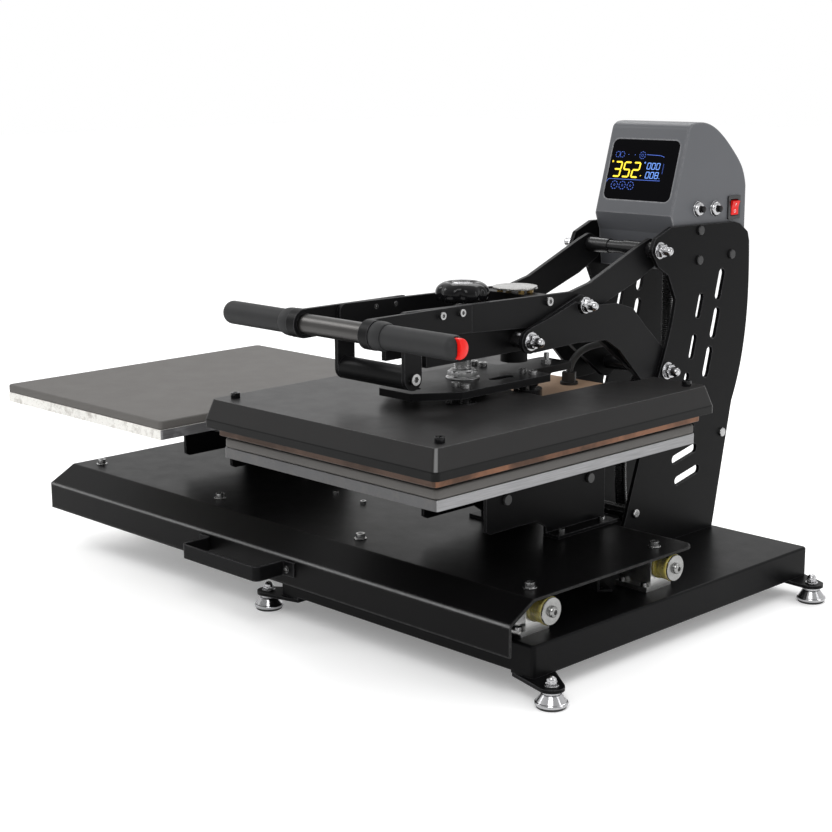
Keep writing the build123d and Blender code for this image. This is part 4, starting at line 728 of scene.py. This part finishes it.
def evenAngles(count):
    return np.linspace(0, 2 * np.pi, count, endpoint=False)


def aroundAxis(level, radius, origin, axis):
    # rings of points round an axis: radius has a row for each level and a column for each angle
    axis = np.asarray(axis, dtype=float)
    across = np.cross(axis, (0.0, 0.0, 1.0) if abs(axis[2]) < 0.9 else (0.0, 1.0, 0.0))
    across /= np.linalg.norm(across)
    angle = evenAngles(radius.shape[1])
    spoke = np.cos(angle)[:, None] * across + np.sin(angle)[:, None] * np.cross(axis, across)
    points = np.asarray(origin) + level[:, None, None] * axis + radius[..., None] * spoke
    return points, gridFaces(*radius.shape)


def turned(profile, origin=(0, 0, 0), axis=(0, 0, 1), segments=48):
    # lathe: each profile pair (height along the axis, radius) swept round the axis
    level, wide = np.asarray(profile, dtype=float).T
    return aroundAxis(level, np.tile(wide[:, None], segments), origin, axis)


def hexNut(low, high, reach, origin, axis=(0, 0, 1), bore=0.0, turn=0.0):
    # hexagon whose corners are cut by a cone at both ends: the radius is the lesser of
    # the hexagon's own radius at that angle and the cone's radius at that height
    flat = reach * math.cos(math.pi / 6)
    hexRadius = flat / np.cos((evenAngles(72) + turn) % (np.pi / 3) - np.pi / 6)
    cut = (reach - flat) * 0.55
    levels = np.array([low, low, low + cut, high - cut, high, high])
    limits = np.array([bore, flat, reach, reach, flat, bore])
    return aroundAxis(levels, np.minimum(hexRadius[None], limits[:, None]), origin, axis)


def acornStack(origin, axis, washerR, hexR, domeR, washer=2.2, hexHigh=7.0, domeHigh=11.5):
    # plain washer, hexagon and domed cap on one axis
    top = washer + hexHigh
    ring = [(0, 0), (0, washerR - 0.4), (0.4, washerR), (washer - 0.5, washerR),
            (washer, washerR - 0.5), (washer, 0)]
    crown = domeR * 0.9
    shoulder = top + domeHigh - crown
    arc = np.radians(np.linspace(12, 90, 8))
    dome = [(top - 0.3, 0), (top - 0.3, domeR), (top + 0.8, domeR), (shoulder, domeR),
            *zip(shoulder + crown * np.sin(arc), domeR * np.cos(arc))]
    return [turned(ring, origin, axis), hexNut(washer, top, hexR, origin, axis),
            turned(dome, origin, axis)]


# Pivots of the linkage, as places from front to back and up
pressLevel = 291.8
upperPivot = (328.0, pressLevel + 221.2)
lowerPivot = (352.0, pressLevel + 42.2)
armPivot = (59.0, pressLevel + 120.7)
kneePivot = (168.5, pressLevel + 158.6)
sides = (-1, 1)

# Nuts, shafts and studs of the linkage; face is where a nut stands, from the middle of the machine
fastening = {
    "upper": dict(face=78.0, washerR=12.2, hexR=10.2, domeR=6.6, domeHigh=14.0),
    "lower": dict(face=78.0, washerR=13.0, hexR=10.8, domeR=6.8, domeHigh=13.5),
    "front": dict(face=71.0, washerR=13.0, hexR=10.4, domeR=6.4, domeHigh=13.5),
    "knee": dict(face=74.0, washerR=11.6, hexR=10.0, domeR=6.4, domeHigh=12.5),
    "foot": dict(washerR=9.5, hexR=8.0, domeR=6.4, washer=1.6, hexHigh=4.6, domeHigh=7.0),
}


def shaftNuts(point, face, **nut):
    # the same nut at both ends of a shaft
    stacks = [acornStack((side * face, *point), (side, 0, 0), **nut) for side in sides]
    return stacks[0] + stacks[1]


def crossRod(point, radius, reach, bevelled=0.6):
    # straight rod across the machine with broken ends
    profile = [(-reach, 0), (-reach, radius - bevelled), (bevelled - reach, radius),
               (reach - bevelled, radius), (reach, radius - bevelled), (reach, 0)]
    return turned(profile, (0, *point), (1, 0, 0))


def crossRings(point, inner, *rings):
    # collars round a rod: each has its outer radius, start and end
    return [turned([(start, inner), (start, outer - 0.5), (start + 0.5, outer), (end - 0.5, outer),
                    (end, outer - 0.5), (end, inner), (start, inner)], (0, *point), (1, 0, 0))
            for outer, start, end in rings]


feetSpots = [(side * 273.5, y) for side in sides for y in (-125.6, 454.4)]
nutParts = shaftNuts(upperPivot, **fastening["upper"]) + shaftNuts(lowerPivot, **fastening["lower"])
for x, y in feetSpots:
    nutParts += acornStack((x, y, 27.7), (0, 0, 1), **fastening["foot"])
addPiece("acornNutSet", nutParts, "chrome", "base", ("acorn_nuts",))

rodParts = [crossRod(upperPivot, 8.0, 79.0), crossRod(lowerPivot, 10.0, 79.0)]
rodParts += crossRings(upperPivot, 7.9, (11.0, -53.0, -13.0), (11.0, 15.0, 53.0), (9.4, -13.0, 15.0),
                       (12.0, -72.0, -60.3), (12.0, 60.3, 72.0))
for spot in ((493.0, pressLevel - 73), (283.0, pressLevel - 162)):
    rodParts += crossRings(spot, 4.2, (9.0, -72.0, 72.0))
addPiece("towerRodSet", rodParts, "shaftBlack", "base", ("tower_shafts",))

frontParts = [crossRod(armPivot, 8.0, 72.0)] + shaftNuts(armPivot, **fastening["front"])
frontParts += crossRings(armPivot, 7.9, (11.0, -60.7, -42.2), (11.0, 42.2, 60.7))
addPiece("frontPivotSet", frontParts, "chrome", "platen_arm", ("front_pivot_shaft",))

kneeParts = shaftNuts(kneePivot, **fastening["knee"])
for side in sides:
    stud = [(0, 0), (0, 8.0), (9.0, 8.0), (9.0, 0)]
    kneeParts.append(turned(stud, (side * 65.0, *kneePivot), (side, 0, 0)))
addPiece("kneeStudSet", kneeParts, "chrome", "toggle_link", ("knee_studs",))
print("nuts and rods made")

# Levelling feet
footShape = {"neckR": 12.2, "neckLow": 18.6, "coneLow": 8.6, "reach": 21.6, "soleR": 19.0}


def footProfile(neckR, neckLow, coneLow, reach, soleR):
    # from the floor up: rubber sole, rounded band, polished cone, round neck and stud
    turn = np.radians(np.linspace(-60, 50, 7))
    return [
        (0, 0), (0, soleR - 1), (0.8, soleR), (3.2, soleR + 0.2),
        *zip(6.0 + 2.9 * np.sin(turn), reach - 2.9 + 2.9 * np.cos(turn)),
        (coneLow, reach - 1.9), (neckLow - 0.5, neckR + 0.6), (neckLow, neckR - 0.5),
        (neckLow + 0.5, neckR - 0.5), (neckLow + 0.8, neckR), (21.8, neckR), (22.4, neckR - 0.6),
        (22.4, 5.0), (30.0, 5.0), (30.0, 0),
    ]


addPiece("footSet", [turned(footProfile(**footShape), (x, y, 0), segments=64) for x, y in feetSpots],
         "footChrome", "base", ("levelling_feet",), sharp=22.0)

# End bumpers on the rails, each with a flat washer and a domed socket bolt
deckMiddle = -275.35
railSpots = (-86.0, 169.0)
bumperStart = 486.85
bumperShape = {"rimR": 18.9, "waistR": 17.5, "long": 24.5}
bumperBolt = {"headR": 7.6}


def bumperProfile(rimR, waistR, long):
    # the radius blends from waist to rims by the smooth step of the distance from the middle, with
    # a low cosine belly; near the ends it drops with the square of the closeness to the end
    high = np.linspace(0, long, 41)
    away = np.abs(high - long / 2)
    blend = np.clip((away - 7.4) / 1.6, 0, 1)
    wide = waistR + (rimR - waistR) * blend ** 2 * (3 - 2 * blend)
    wide += 0.35 * np.cos(np.pi * away / long)
    wide -= 1.1 * np.clip(1 - np.minimum(high, long - high) / 1.2, 0, 1) ** 2
    return [(0, 4.3), *zip(high, np.minimum(wide, 18.95)), (long, 4.3), (0, 4.3)]


def boltProfile(headR):
    # flat washer, then the head: short wall, quarter dome and a round socket
    arc = np.radians(np.linspace(10, 90, 8))
    return [(0, 0), (0, 17.6), (0.5, 18.0), (2.3, 18.0), (2.9, 17.4), (2.9, 8.6), (2.9, headR), (4.0, headR),
            *zip(4.0 + 5.0 * np.sin(arc), 3.6 + 4.0 * np.cos(arc)), (9.0, 3.3), (5.4, 3.3), (5.0, 0)]


bumperParts, boltParts = [], []
for side in sides:
    for y in railSpots:
        root = deckMiddle + side * bumperStart
        outer = (root + side * bumperShape["long"], y, 106.0)
        axis = (side, 0, 0)
        bumperParts.append(turned(bumperProfile(**bumperShape), (root, y, 106.0), axis, 56))
        boltParts.append(turned(boltProfile(**bumperBolt), outer, axis, 60))
        boltParts.append(turned([(0, 0), (0, 4.0), (-24.0, 4.0), (-24.0, 0)], outer, axis, 24))
addPiece("bumperRings", bumperParts, "bumperAmber", "shuttle", ("end_bumpers",), sharp=50)
addPiece("bumperBoltSet", boltParts, "washerSteel", "shuttle", ("bumper_bolts",), sharp=30)
print("feet and bumpers made")

# Deck washers under the screw heads of the shuttle
deckTop = 129.0
deckWasher = {"inner": 6.6, "outer": 9.2, "thick": 1.4}


def washerProfile(inner, outer, thick):
    return [(0, inner), (0, outer - 0.2), (thick - 0.4, outer), (thick, outer - 0.5), (thick, inner),
            (0, inner)]


washerParts = [turned(washerProfile(**deckWasher), (deckMiddle + x, y, deckTop), segments=36)
               for x in (-477, -159, 159, 477) for y in railSpots]
addPiece("deckWasherSet", washerParts, "zinc", "shuttle", (), sharp=30)

# Pressure knob: scalloped rim, dished top and a bright cap in its recess
knobShape = {"reach": 37.0, "low": 468.0, "high": 493.0, "lobes": 7, "scallop": 3.6, "dish": 2.6, "capR": 15.5}
knobBore = 12.05


def knobGrid(reach, low, high, lobes, scallop, dish, capR):
    # the radius loses a share of the scallop depth where the cosine of the lobe count times the angle
    # is low, most at mid height and nothing on the rounded top
    rows = [(low, knobBore, 0), (low, reach - 5, 0.4), (low + 0.8, reach - 2.2, 1), (low + 3, reach - 0.8, 1),
            (low + 7, reach, 1), (low + 11, reach, 1), (low + 14.5, reach - 0.6, 0.9),
            (low + 17.5, reach - 1.9, 0.6), (low + 20.3, reach - 4.2, 0.25), (low + 22.6, reach - 7.4, 0.05),
            (low + 24.2, reach - 10.8, 0), (high, reach - 14.2, 0), (high - 0.4, reach - 16.6, 0),
            (high - dish + 0.9, capR + 2.6, 0), (high - dish, capR + 0.4, 0),
            (high - dish - 1.6, capR + 0.1, 0), (high - dish - 1.8, 0, 0)]
    level, wide, share = np.array(rows, dtype=float).T
    wave = (0.5 - 0.5 * np.cos(lobes * evenAngles(192))) ** 3
    return aroundAxis(level, wide[:, None] - scallop * share[:, None] * wave, (0, 0, 0), (0, 0, 1))


knobLow = knobShape["low"]
boreWall = turned([(knobLow, knobBore), (knobLow + 12, knobBore), (knobLow + 12, 0)], segments=192)
addPiece("handKnob", [knobGrid(**knobShape), boreWall], "knobPlastic", "pressure_knob",
         ("pressure_knob",), sharp=48)
capLow = knobShape["high"] - knobShape["dish"] - 1.5
badgeProfile = [(capLow - 0.2, 0), (capLow - 0.2, 15.0), (capLow + 1.5, 15.0), (capLow + 2.1, 14.4),
                (capLow + 2.2, 13.4), (capLow + 1.5, 12.6), (capLow + 1.2, 6.0), (capLow + 1.1, 0)]
addPiece("knobBadge", [turned(badgeProfile, segments=72)], "capSpin", "pressure_knob",
         ("knob_cap",), sharp=30)

# Pressure screw
screwShape = {"radius": 12.0, "depth": 1.1, "pitch": 3.0, "low": 353.2, "high": 479.6}


def screwGrid(radius, depth, pitch, low, high):
    # helical ridge: the radius rises and falls with the height over the pitch minus the angle's turn
    level = np.arange(low, high, pitch / 6)
    phase = (level[:, None] / pitch - evenAngles(48) / (2 * np.pi) - 0.5) % 1.0
    wide = radius - depth * (1 - np.clip(1.25 - 2.5 * np.abs(phase - 0.5), 0, 1))
    wide[0] = wide[-1] = 0
    return aroundAxis(level, wide, (0, 0, 0), (0, 0, 1))


addPiece("threadedScrew", [screwGrid(**screwShape)], "threadSteel", "pressure_knob",
         ("pressure_screw",), sharp=60)

# Collar nut: flange, hexagon and a low ring round the screw
collarShape = {"low": 362.0, "flangeTop": 364.4, "hexTop": 373.0, "top": 375.0, "bore": 12.05,
               "flangeR": 23.0, "hexR": 21.0, "ringR": 16.4}


def collarGrids(low, flangeTop, hexTop, top, bore, flangeR, hexR, ringR):
    flange = [(low, bore), (low, flangeR - 0.4), (low + 0.5, flangeR), (flangeTop - 0.6, flangeR),
              (flangeTop, flangeR - 0.7), (flangeTop, bore), (low, bore)]
    ring = [(hexTop, bore), (hexTop, ringR), (top - 0.5, ringR), (top, ringR - 0.6), (top, bore),
            (hexTop, bore)]
    wall = [(flangeTop, bore), (hexTop, bore)]
    hexagon = hexNut(flangeTop, hexTop, hexR, (0, 0, 0), bore=bore, turn=0.35)
    return [hexagon, *(turned(profile, segments=72) for profile in (flange, wall, ring))]


addPiece("collarNut", collarGrids(**collarShape), "threadSteel", "heater_head", ("screw_collar",),
         sharp=30)
print("knob and screw made")

# Posts of the head: slim corner posts, and on each wide foot two studs with nuts under the hanger
headShape = {"floor": 312.0, "coverTop": 342.0, "footR": 19.9, "studR": 4.8, "nutR": 8.2}
postSpots = [(x, y) for x in (-193.5, 193.5) for y in (-239.0, 244.0)]
footSpots = [(x, y) for x in (-47.0, 47.0) for y in (-52.0, 80.0)]
floor, footR, studR = (headShape[key] for key in ("floor", "footR", "studR"))
postProfile = [(floor, 0), (floor, 6.0), (339.9, 6.0), (339.9, 0)]
wideProfile = [(floor, 0), (floor, footR), (342.6, footR), (343.2, footR - 0.6), (343.2, 0)]
studProfile = [(343.0, 0), (343.0, studR), (351.9, studR), (351.9, 0)]
postParts = [turned(postProfile, (x, y, 0), segments=32) for x, y in postSpots]
postParts += [turned(wideProfile, (x, y, 0), segments=64) for x, y in footSpots]
for x, y in footSpots:
    for spot in ((x - 9, y, 0), (x + 9, y, 0)):
        postParts += [turned(studProfile, spot, segments=24), hexNut(347.2, 351.9, headShape["nutR"], spot)]
addPiece("headPostSet", postParts, "shaftBlack", "heater_head", ("head_posts",), sharp=30)

# Cap screws at the corners of the cover, with a round socket
capShape = {"reach": 6.4, "high": 7.6, "socketR": 3.2, "deep": 3.4}


def capProfile(reach, high, socketR, deep):
    return [(0, 0), (0, reach), (high - 0.8, reach), (high, reach - 0.7), (high, socketR),
            (high - deep, socketR - 0.2), (high - deep, 0)]


capParts = [turned(capProfile(**capShape), (x, y, headShape["coverTop"]), segments=40) for x, y in postSpots]
addPiece("coverScrewSet", capParts, "knobPlastic", "heater_head", (), sharp=30)

# Rubber hoods of the grips over the collars beside the handle plates
gripAxis = (-228.0, pressLevel + 164.0)
hoodStart = 76.3
hoodShape = {"long": 18.7, "inner": 16.4, "reach": 18.6}


def hoodProfile(long, inner, reach):
    # the radius swells by a power of the sine of the length, from part way up the wave to its end
    high = np.linspace(0, long, 22)
    wave = np.sin(np.pi * np.clip(high / high[-1] * 0.82 + 0.18, 0, 1))
    return [(0, 15.7), *zip(high, inner + (reach - inner) * wave ** 0.7), (long, 15.7), (0, 15.7)]


hoodParts = [turned(hoodProfile(**hoodShape), (side * hoodStart, *gripAxis), (side, 0, 0), 56)
             for side in sides]
addPiece("gripHoods", hoodParts, "gripRubber", "handle_lever", (), sharp=50)

# Release button: red plunger with a crowned face, standing in the open side of the right grip's end
buttonShape = {"start": 197.6, "step": 12.7, "long": 24.0, "reach": 12.7, "crown": 2.6, "edge": 1.8,
               "behind": -3.4}


def buttonGrid(start, step, long, reach, crown, edge, behind):
    # past the step only the half behind the grip's dome is left: y is held at the dome's back face
    arc = np.radians(np.linspace(0, 80, 6))[1:]
    shoulder = long - crown
    share = np.array((0.75, 0.5, 0.25, 0.0))
    profile = [(0, 0), (0, reach), (step, reach), (step + 0.05, reach), (shoulder - edge, reach),
               *zip(shoulder - edge + edge * np.sin(arc), reach - edge * (1 - np.cos(arc))),
               *zip(shoulder + crown * (1 - share ** 2), 11.0 * share)]
    grid, faces = turned(profile, (start, *gripAxis), (1, 0, 0), 96)
    past = grid[..., 0] > start + step + 0.01
    grid[..., 1] = np.where(past, np.maximum(grid[..., 1], gripAxis[0] + behind), grid[..., 1])
    return grid, faces


addPiece("buttonPlunger", [buttonGrid(**buttonShape)], "signalRed", "release_button",
         ("release_button",), sharp=40)

# Fuse holders: chromed dome with turned steps; each cap a small knurled button
boxFace = 71.5
fuseSpots = {"front": (425.0, pressLevel + 274), "rear": (467.0, pressLevel + 272)}
domeShape = {"domeR": 11.6, "high": 7.4}
fuseShape = {"start": boxFace + domeShape["high"] + 0.1, "capR": 4.6, "high": 5.6, "knurls": 20, "knurl": 0.28}


def domeProfile(domeR, high):
    arc = np.radians(np.linspace(8, 82, 7))
    return [(-22, 4.7), (-22, 6.0), (0, 6.0), (0, domeR), (1.4, domeR), (1.8, 11.0),
            *zip(1.8 + 5.6 * np.sin(arc), 6.0 + 4.9 * np.cos(arc)), (high, 6.2), (high - 0.4, 4.75), (-22, 4.7)]


def knurledCap(spot, start, capR, high, knurls, knurl):
    # the radius gains a small cosine of the knurl count along the grip's height
    rows = [(-16, 0, 0), (-16, 4.4, 0), (0, 4.4, 0), (0, capR, 0), (0.4, capR, 1), (high - 1, capR, 1),
            (high - 0.3, capR - 0.5, 0), (high, capR - 1.3, 0), (high, 0, 0)]
    level, wide, share = np.array(rows, dtype=float).T
    wave = np.cos(knurls * evenAngles(120))
    return aroundAxis(level, wide[:, None] + knurl * share[:, None] * wave, (start, *spot), (1, 0, 0))


domeParts = [turned(domeProfile(**domeShape), (boxFace, *spot), (1, 0, 0), 56) for spot in fuseSpots.values()]
addPiece("fuseDomes", domeParts, "chrome", "base", ("fuse_holders",), sharp=28)
for word, spot in fuseSpots.items():
    addPiece(f"fuseButton_{word}", [knurledCap(spot, **fuseShape)], "knobPlastic", f"fuse_cap_{word}",
             (f"fuse_cap_{word}",), sharp=40)
print("fuses made")


# Display: bars on the glass, each a six-cornered prism between two points of the face
def barPrisms(bars, origin, across, up, out, low=0.05, high=0.22):
    # bars are rows of x0, s0, x1, s1, width; the ends are pointed by half the width
    bars = np.asarray(bars, dtype=float)
    start, end, wide = bars[:, 0:2], bars[:, 2:4], bars[:, 4:5]
    along = (end - start) / np.linalg.norm(end - start, axis=1, keepdims=True)
    beside = np.stack([-along[:, 1], along[:, 0]], -1) * wide / 2
    tip = along * wide / 2
    ring = [start, start + tip + beside, end - tip + beside, end, end - tip - beside, start + tip - beside]
    ring = np.stack(ring, 1)
    flat = np.array(origin) + ring[..., 0:1] * np.array(across) + ring[..., 1:2] * np.array(up)
    layers = np.stack([flat + low * np.array(out), flat + high * np.array(out)], 1)
    side = np.arange(6)
    walls = np.stack([side, (side + 1) % 6, (side + 1) % 6 + 6, side + 6], -1)
    lids = np.array([[0, 1, 2, 3], [0, 3, 4, 5], [6, 7, 8, 9], [6, 9, 10, 11]])
    base = (np.arange(len(bars)) * 12)[:, None, None]
    return layers, (np.concatenate([walls, lids])[None] + base).reshape(-1, 4)


segmentEnds = {"a": (0, 1, 1, 1), "b": (1, 1, 1, 0.5), "c": (1, 0.5, 1, 0), "d": (0, 0, 1, 0),
               "e": (0, 0.5, 0, 0), "f": (0, 1, 0, 0.5), "g": (0, 0.5, 1, 0.5)}
segmentSets = {"0": "abcdef", "2": "abged", "3": "abgcd", "5": "afgcd", "8": "abcdefg"}


def digitBars(text, left, low, wide, high, pitch, stroke, slant=0.1):
    bars = []
    for number, letter in enumerate(text):
        start = left + number * pitch
        for x0, s0, x1, s1 in (segmentEnds[segment] for segment in segmentSets[letter]):
            bars.append((start + x0 * wide + slant * s0 * high, low + s0 * high,
                         start + x1 * wide + slant * s1 * high, low + s1 * high, stroke))
    return bars


def ringBars(x, s, radius, count, stroke, gap=0.35):
    # bars set round a circle, each shorter than its share by the gap
    turn = 2 * math.pi / count
    angles = [(k * turn, (k + 1 - gap) * turn) for k in range(count)]
    ends = [[(x + radius * math.cos(angle), s + radius * math.sin(angle)) for angle in pair] for pair in angles]
    return [(*start, *end, stroke) for start, end in ends]


# Places on the display are millimetres from the foot of the glass, across and up its slope
displayFace = {"origin": (0.0, 362.0, 559.0), "across": (1.0, 0.0, 0.0), "up": (0.0, 0.28893, 0.95737),
               "out": (0.0, -0.95737, 0.28893)}
smallDigits = dict(left=9.5, wide=5.6, high=9.0, pitch=8.4, stroke=1.0)
iconRings = [(-49, 88, 4.4, 8, 0.9), (-41, 88, 4.4, 8, 0.9), (-3, 88, 5.4, 9, 0.9), (-45.3, 87.6, 1.2, 5, 0.8),
             (-3, 88, 1.9, 6, 0.8)]
for x in (-45, -30, -14.7):
    iconRings += [(x, 41.5, 6.0, 9, 1.0), (x, 41.5, 1.5, 5, 0.9)]
display = {
    "yellow": digitBars("352", -51.5, 54.6, 11.6, 21.8, 17.2, 2.5) + ringBars(-56, 77, 1.2, 6, 1.6, 0.0)
    + [(-0.5, 56.5, 1.6, 58.2, 1.0)],
    "blue": digitBars("000", low=67.8, **smallDigits) + digitBars("008", low=54.2, **smallDigits)
    + ringBars(4.5, 77, 1.0, 6, 1.3, 0.0) + [(34.6, 54.4, 36.0, 54.4, 1.0)],
    "icons": [
        (5, 89.2, 30, 88.6, 0.8), (30, 88.6, 37.6, 86.5, 0.8), (-57, 50.5, 38, 51.0, 0.8),
        (-57, 50.5, -60, 48.4, 0.8), (-60, 48.4, -60.6, 45.8, 0.8), (-29.8, 87.6, -28.4, 88.8, 0.9),
        (-17.6, 87.6, -16.2, 88.8, 0.9),
        *((38.2, s, 39.8, s, 0.7) for s in np.linspace(62, 76, 8)),
        *(bar for ring in iconRings for bar in ringBars(*ring)),
    ],
}
for word, finish in (("yellow", "digitYellow"), ("blue", "digitBlue"), ("icons", "iconBlue")):
    addPiece(f"display_{word}", [barPrisms(display[word], **displayFace)], finish, "base", (),
             sharp=20)

# White I and O on the rocker
rockerMarks = {"foot": (74.5, 515.0, 551.2), "middle": (75.0, 515.0, 562.5), "head": (78.0, 515.0, 572.0),
               "ringR": 2.3, "barHigh": 4.4}


def rockerFace(low, high, bars):
    # bars on the flat half of the rocker between two of its edges
    up = np.subtract(rockerMarks[high], rockerMarks[low])
    up /= np.linalg.norm(up)
    return barPrisms(bars, rockerMarks[low], (0.0, 1.0, 0.0), up, (up[2], 0, -up[0]))


ringMark = rockerFace("foot", "middle", ringBars(0, 5.6, rockerMarks["ringR"], 10, 0.75, 0.0))
barMark = rockerFace("middle", "head", [(0, 2.6, 0, 2.6 + rockerMarks["barHigh"], 1.1)])
addPiece("rockerMarkSet", [ringMark, barMark], "markWhite", "power_rocker", (), sharp=20)
print("display and marks made")

# Silicone pads: closed slabs with a low crown, soft edges and sides that give a little inwards
padShape = {"halfX": 202.7, "halfY": 253.5, "low": 275.5, "high": 288.4, "corner": 6.0, "crown": 0.5,
            "edge": 2.2, "pull": 0.55}


def roundedRectangle(half, corner, count=28):
    # four straight sides, each followed by the quarter circle at its end
    quarter = np.radians(np.linspace(0, 90, 9))
    share = (np.linspace(-1, 1, count)[1:-1, None] + 1) / 2
    signs = np.array(((1, 1), (-1, 1), (-1, -1), (1, -1)))
    ring = []
    for k in range(4):
        before, centre = signs[k - 1] * (half - corner), signs[k] * (half - corner)
        turn = quarter + k * np.pi / 2
        spoke = corner * np.stack([np.cos(turn), np.sin(turn)], -1)
        ring += [before + spoke[0] + share * (centre - before), centre + spoke]
    return np.concatenate(ring)


def padGrid(station, halfX, halfY, low, high, corner, crown, edge, pull):
    # each row is the rounded rectangle drawn in by an inset; the crown falls off towards the rim
    # as the fourth power, and the sides draw in between corners by one minus the square along them
    half = np.array((halfX, halfY))
    ring = roundedRectangle(half, corner)
    share = np.abs(ring / half)
    draw = pull * (1 - np.min(share, axis=1) ** 2)
    rim = high - crown
    rows = [(low, 1.0, 0), (low, 0.5, 0), (low, 0, 1.0), (low + 0.6, 0, 0.3), (low + 2.5, 0, 0.0),
            (rim - edge, 0, 0.0), (rim - edge * 0.5, 0, 0.45), (rim - edge * 0.15, 0, 1.2), (rim, 0, edge)]
    level, scale, inset = np.array(rows)[..., None].transpose(1, 0, 2)
    wall = ring * (1 - scale)[..., None]
    wall -= np.sign(ring) * (inset + draw * (scale < 1))[..., None] * share ** 6
    wall = np.concatenate([wall, np.broadcast_to(level[..., None], (*wall.shape[:2], 1))], -1)
    top = ring * np.linspace(0.985, 0.0, 14)[:, None, None]
    hump = 1 - np.max(np.abs(top / half), axis=-1, keepdims=True) ** 4
    top = np.concatenate([top, rim + crown * hump], -1)
    points = np.concatenate([wall, top]) + np.array((station, 0.0, 0.0))
    return points, gridFaces(len(points), len(ring))


for station, word in ((0.0, "right"), (-550.7, "left")):
    pad = addPiece(f"pad_{word}", [padGrid(station, **padShape)], "siliconeTaupe", "shuttle",
                   (f"silicone_pad_{word}",), sharp=50)
print("pads made")


# Conduit and heater cable follow smooth lines in the middle plane
def routeLine(name, route):
    curve = bpy.data.curves.new(name, "CURVE")
    curve.dimensions = "3D"
    spline = curve.splines.new("NURBS")
    spline.points.add(len(route) - 1)
    spots = np.column_stack([np.zeros(len(route)), np.asarray(route, dtype=float), np.ones(len(route))])
    spline.points.foreach_set("co", spots.ravel())
    spline.order_u = 3
    spline.use_endpoint_u = True
    spline.resolution_u = 24
    carrier = bpy.data.objects.new(name, curve)
    mesh = bpy.data.meshes.new_from_object(carrier)
    line = np.empty(len(mesh.vertices) * 3)
    mesh.vertices.foreach_get("co", line)
    bpy.data.objects.remove(carrier)
    bpy.data.curves.remove(curve)
    bpy.data.meshes.remove(mesh)
    return line.reshape(-1, 3)


def tubeGrid(line, step, outer, inner=None, segments=24):
    # circles square to the line, evenly spaced along it; outer gives the radius from the length so far
    runs = np.concatenate([[0], np.cumsum(np.linalg.norm(np.diff(line, axis=0), axis=1))])
    far = np.linspace(0, runs[-1], int(runs[-1] / step) + 1)
    centre = np.stack([np.interp(far, runs, line[:, k]) for k in range(3)], -1)
    along = np.gradient(centre, axis=0)
    along /= np.linalg.norm(along, axis=1, keepdims=True)
    across = np.broadcast_to(np.array((1.0, 0.0, 0.0)), along.shape)
    up = np.cross(along, across)
    angle = np.linspace(0, 2 * np.pi, segments + 1)
    spoke = np.cos(angle)[None, :, None] * across[:, None] + np.sin(angle)[None, :, None] * up[:, None]
    shell = centre[:, None] + outer(far)[:, None, None] * spoke
    if inner is not None:
        bore = (centre[:, None] + inner * spoke)[::-1]
        shell = np.concatenate([shell, bore, shell[:1]])
        far = np.concatenate([far, far[::-1], far[:1]])
    else:
        lids = [np.broadcast_to(centre[end], shell[:1].shape) for end in (0, -1)]
        shell = np.concatenate([lids[0], shell, lids[1]])
        far = np.concatenate([far[:1], far, far[-1:]])
    uv = np.stack(np.broadcast_arrays(angle[None] / (2 * np.pi), far[:, None] / 100), -1).reshape(-1, 2)
    return (shell, gridFaces(len(shell), segments + 1, False)), uv


conduit = {
    "route": [(376.43, 363.11), (387.02, 354.22), (391.83, 326.98), (384.91, 315.0), (344.91, 245.72),
              (344.91, 120.9), (365, 80.6), (425, 80.6), (452, 150.9), (452, 481.8)],
    "rib": 3.2, "ribHigh": 1.0, "outer": 9.0, "inner": 7.2,
}
cable = {
    "route": [(222, 330.4), (222, 372), (352, 372), (363.98, 372), (383.61, 358.25), (387.71, 347.0)],
    "radius": 5.0,
}


def ribShape(far):
    # ribs: the radius drops between crests by the clipped sine of the length over the rib pitch
    groove = np.clip(1.6 * np.abs(np.sin(np.pi * far / conduit["rib"])) - 0.5, 0, 1)
    return conduit["outer"] - conduit["ribHigh"] * groove


conduitGrid, conduitUv = tubeGrid(routeLine("conduitLine", conduit["route"]), conduit["rib"] / 6, ribShape,
                                  conduit["inner"], 20)
addPiece("ribbedConduit", [conduitGrid], "conduitBlack", "base", ("cable_conduit",), sharp=60,
         uvs=conduitUv)
cableGrid, cableUv = tubeGrid(routeLine("heaterCableLine", cable["route"]), 2.0,
                              lambda far: np.full(far.shape, cable["radius"]))
addPiece("heaterSleeve", [cableGrid], "braidSleeve", "platen_arm", ("heater_cable",), sharp=60,
         uvs=cableUv)
print("conduit and cable made")
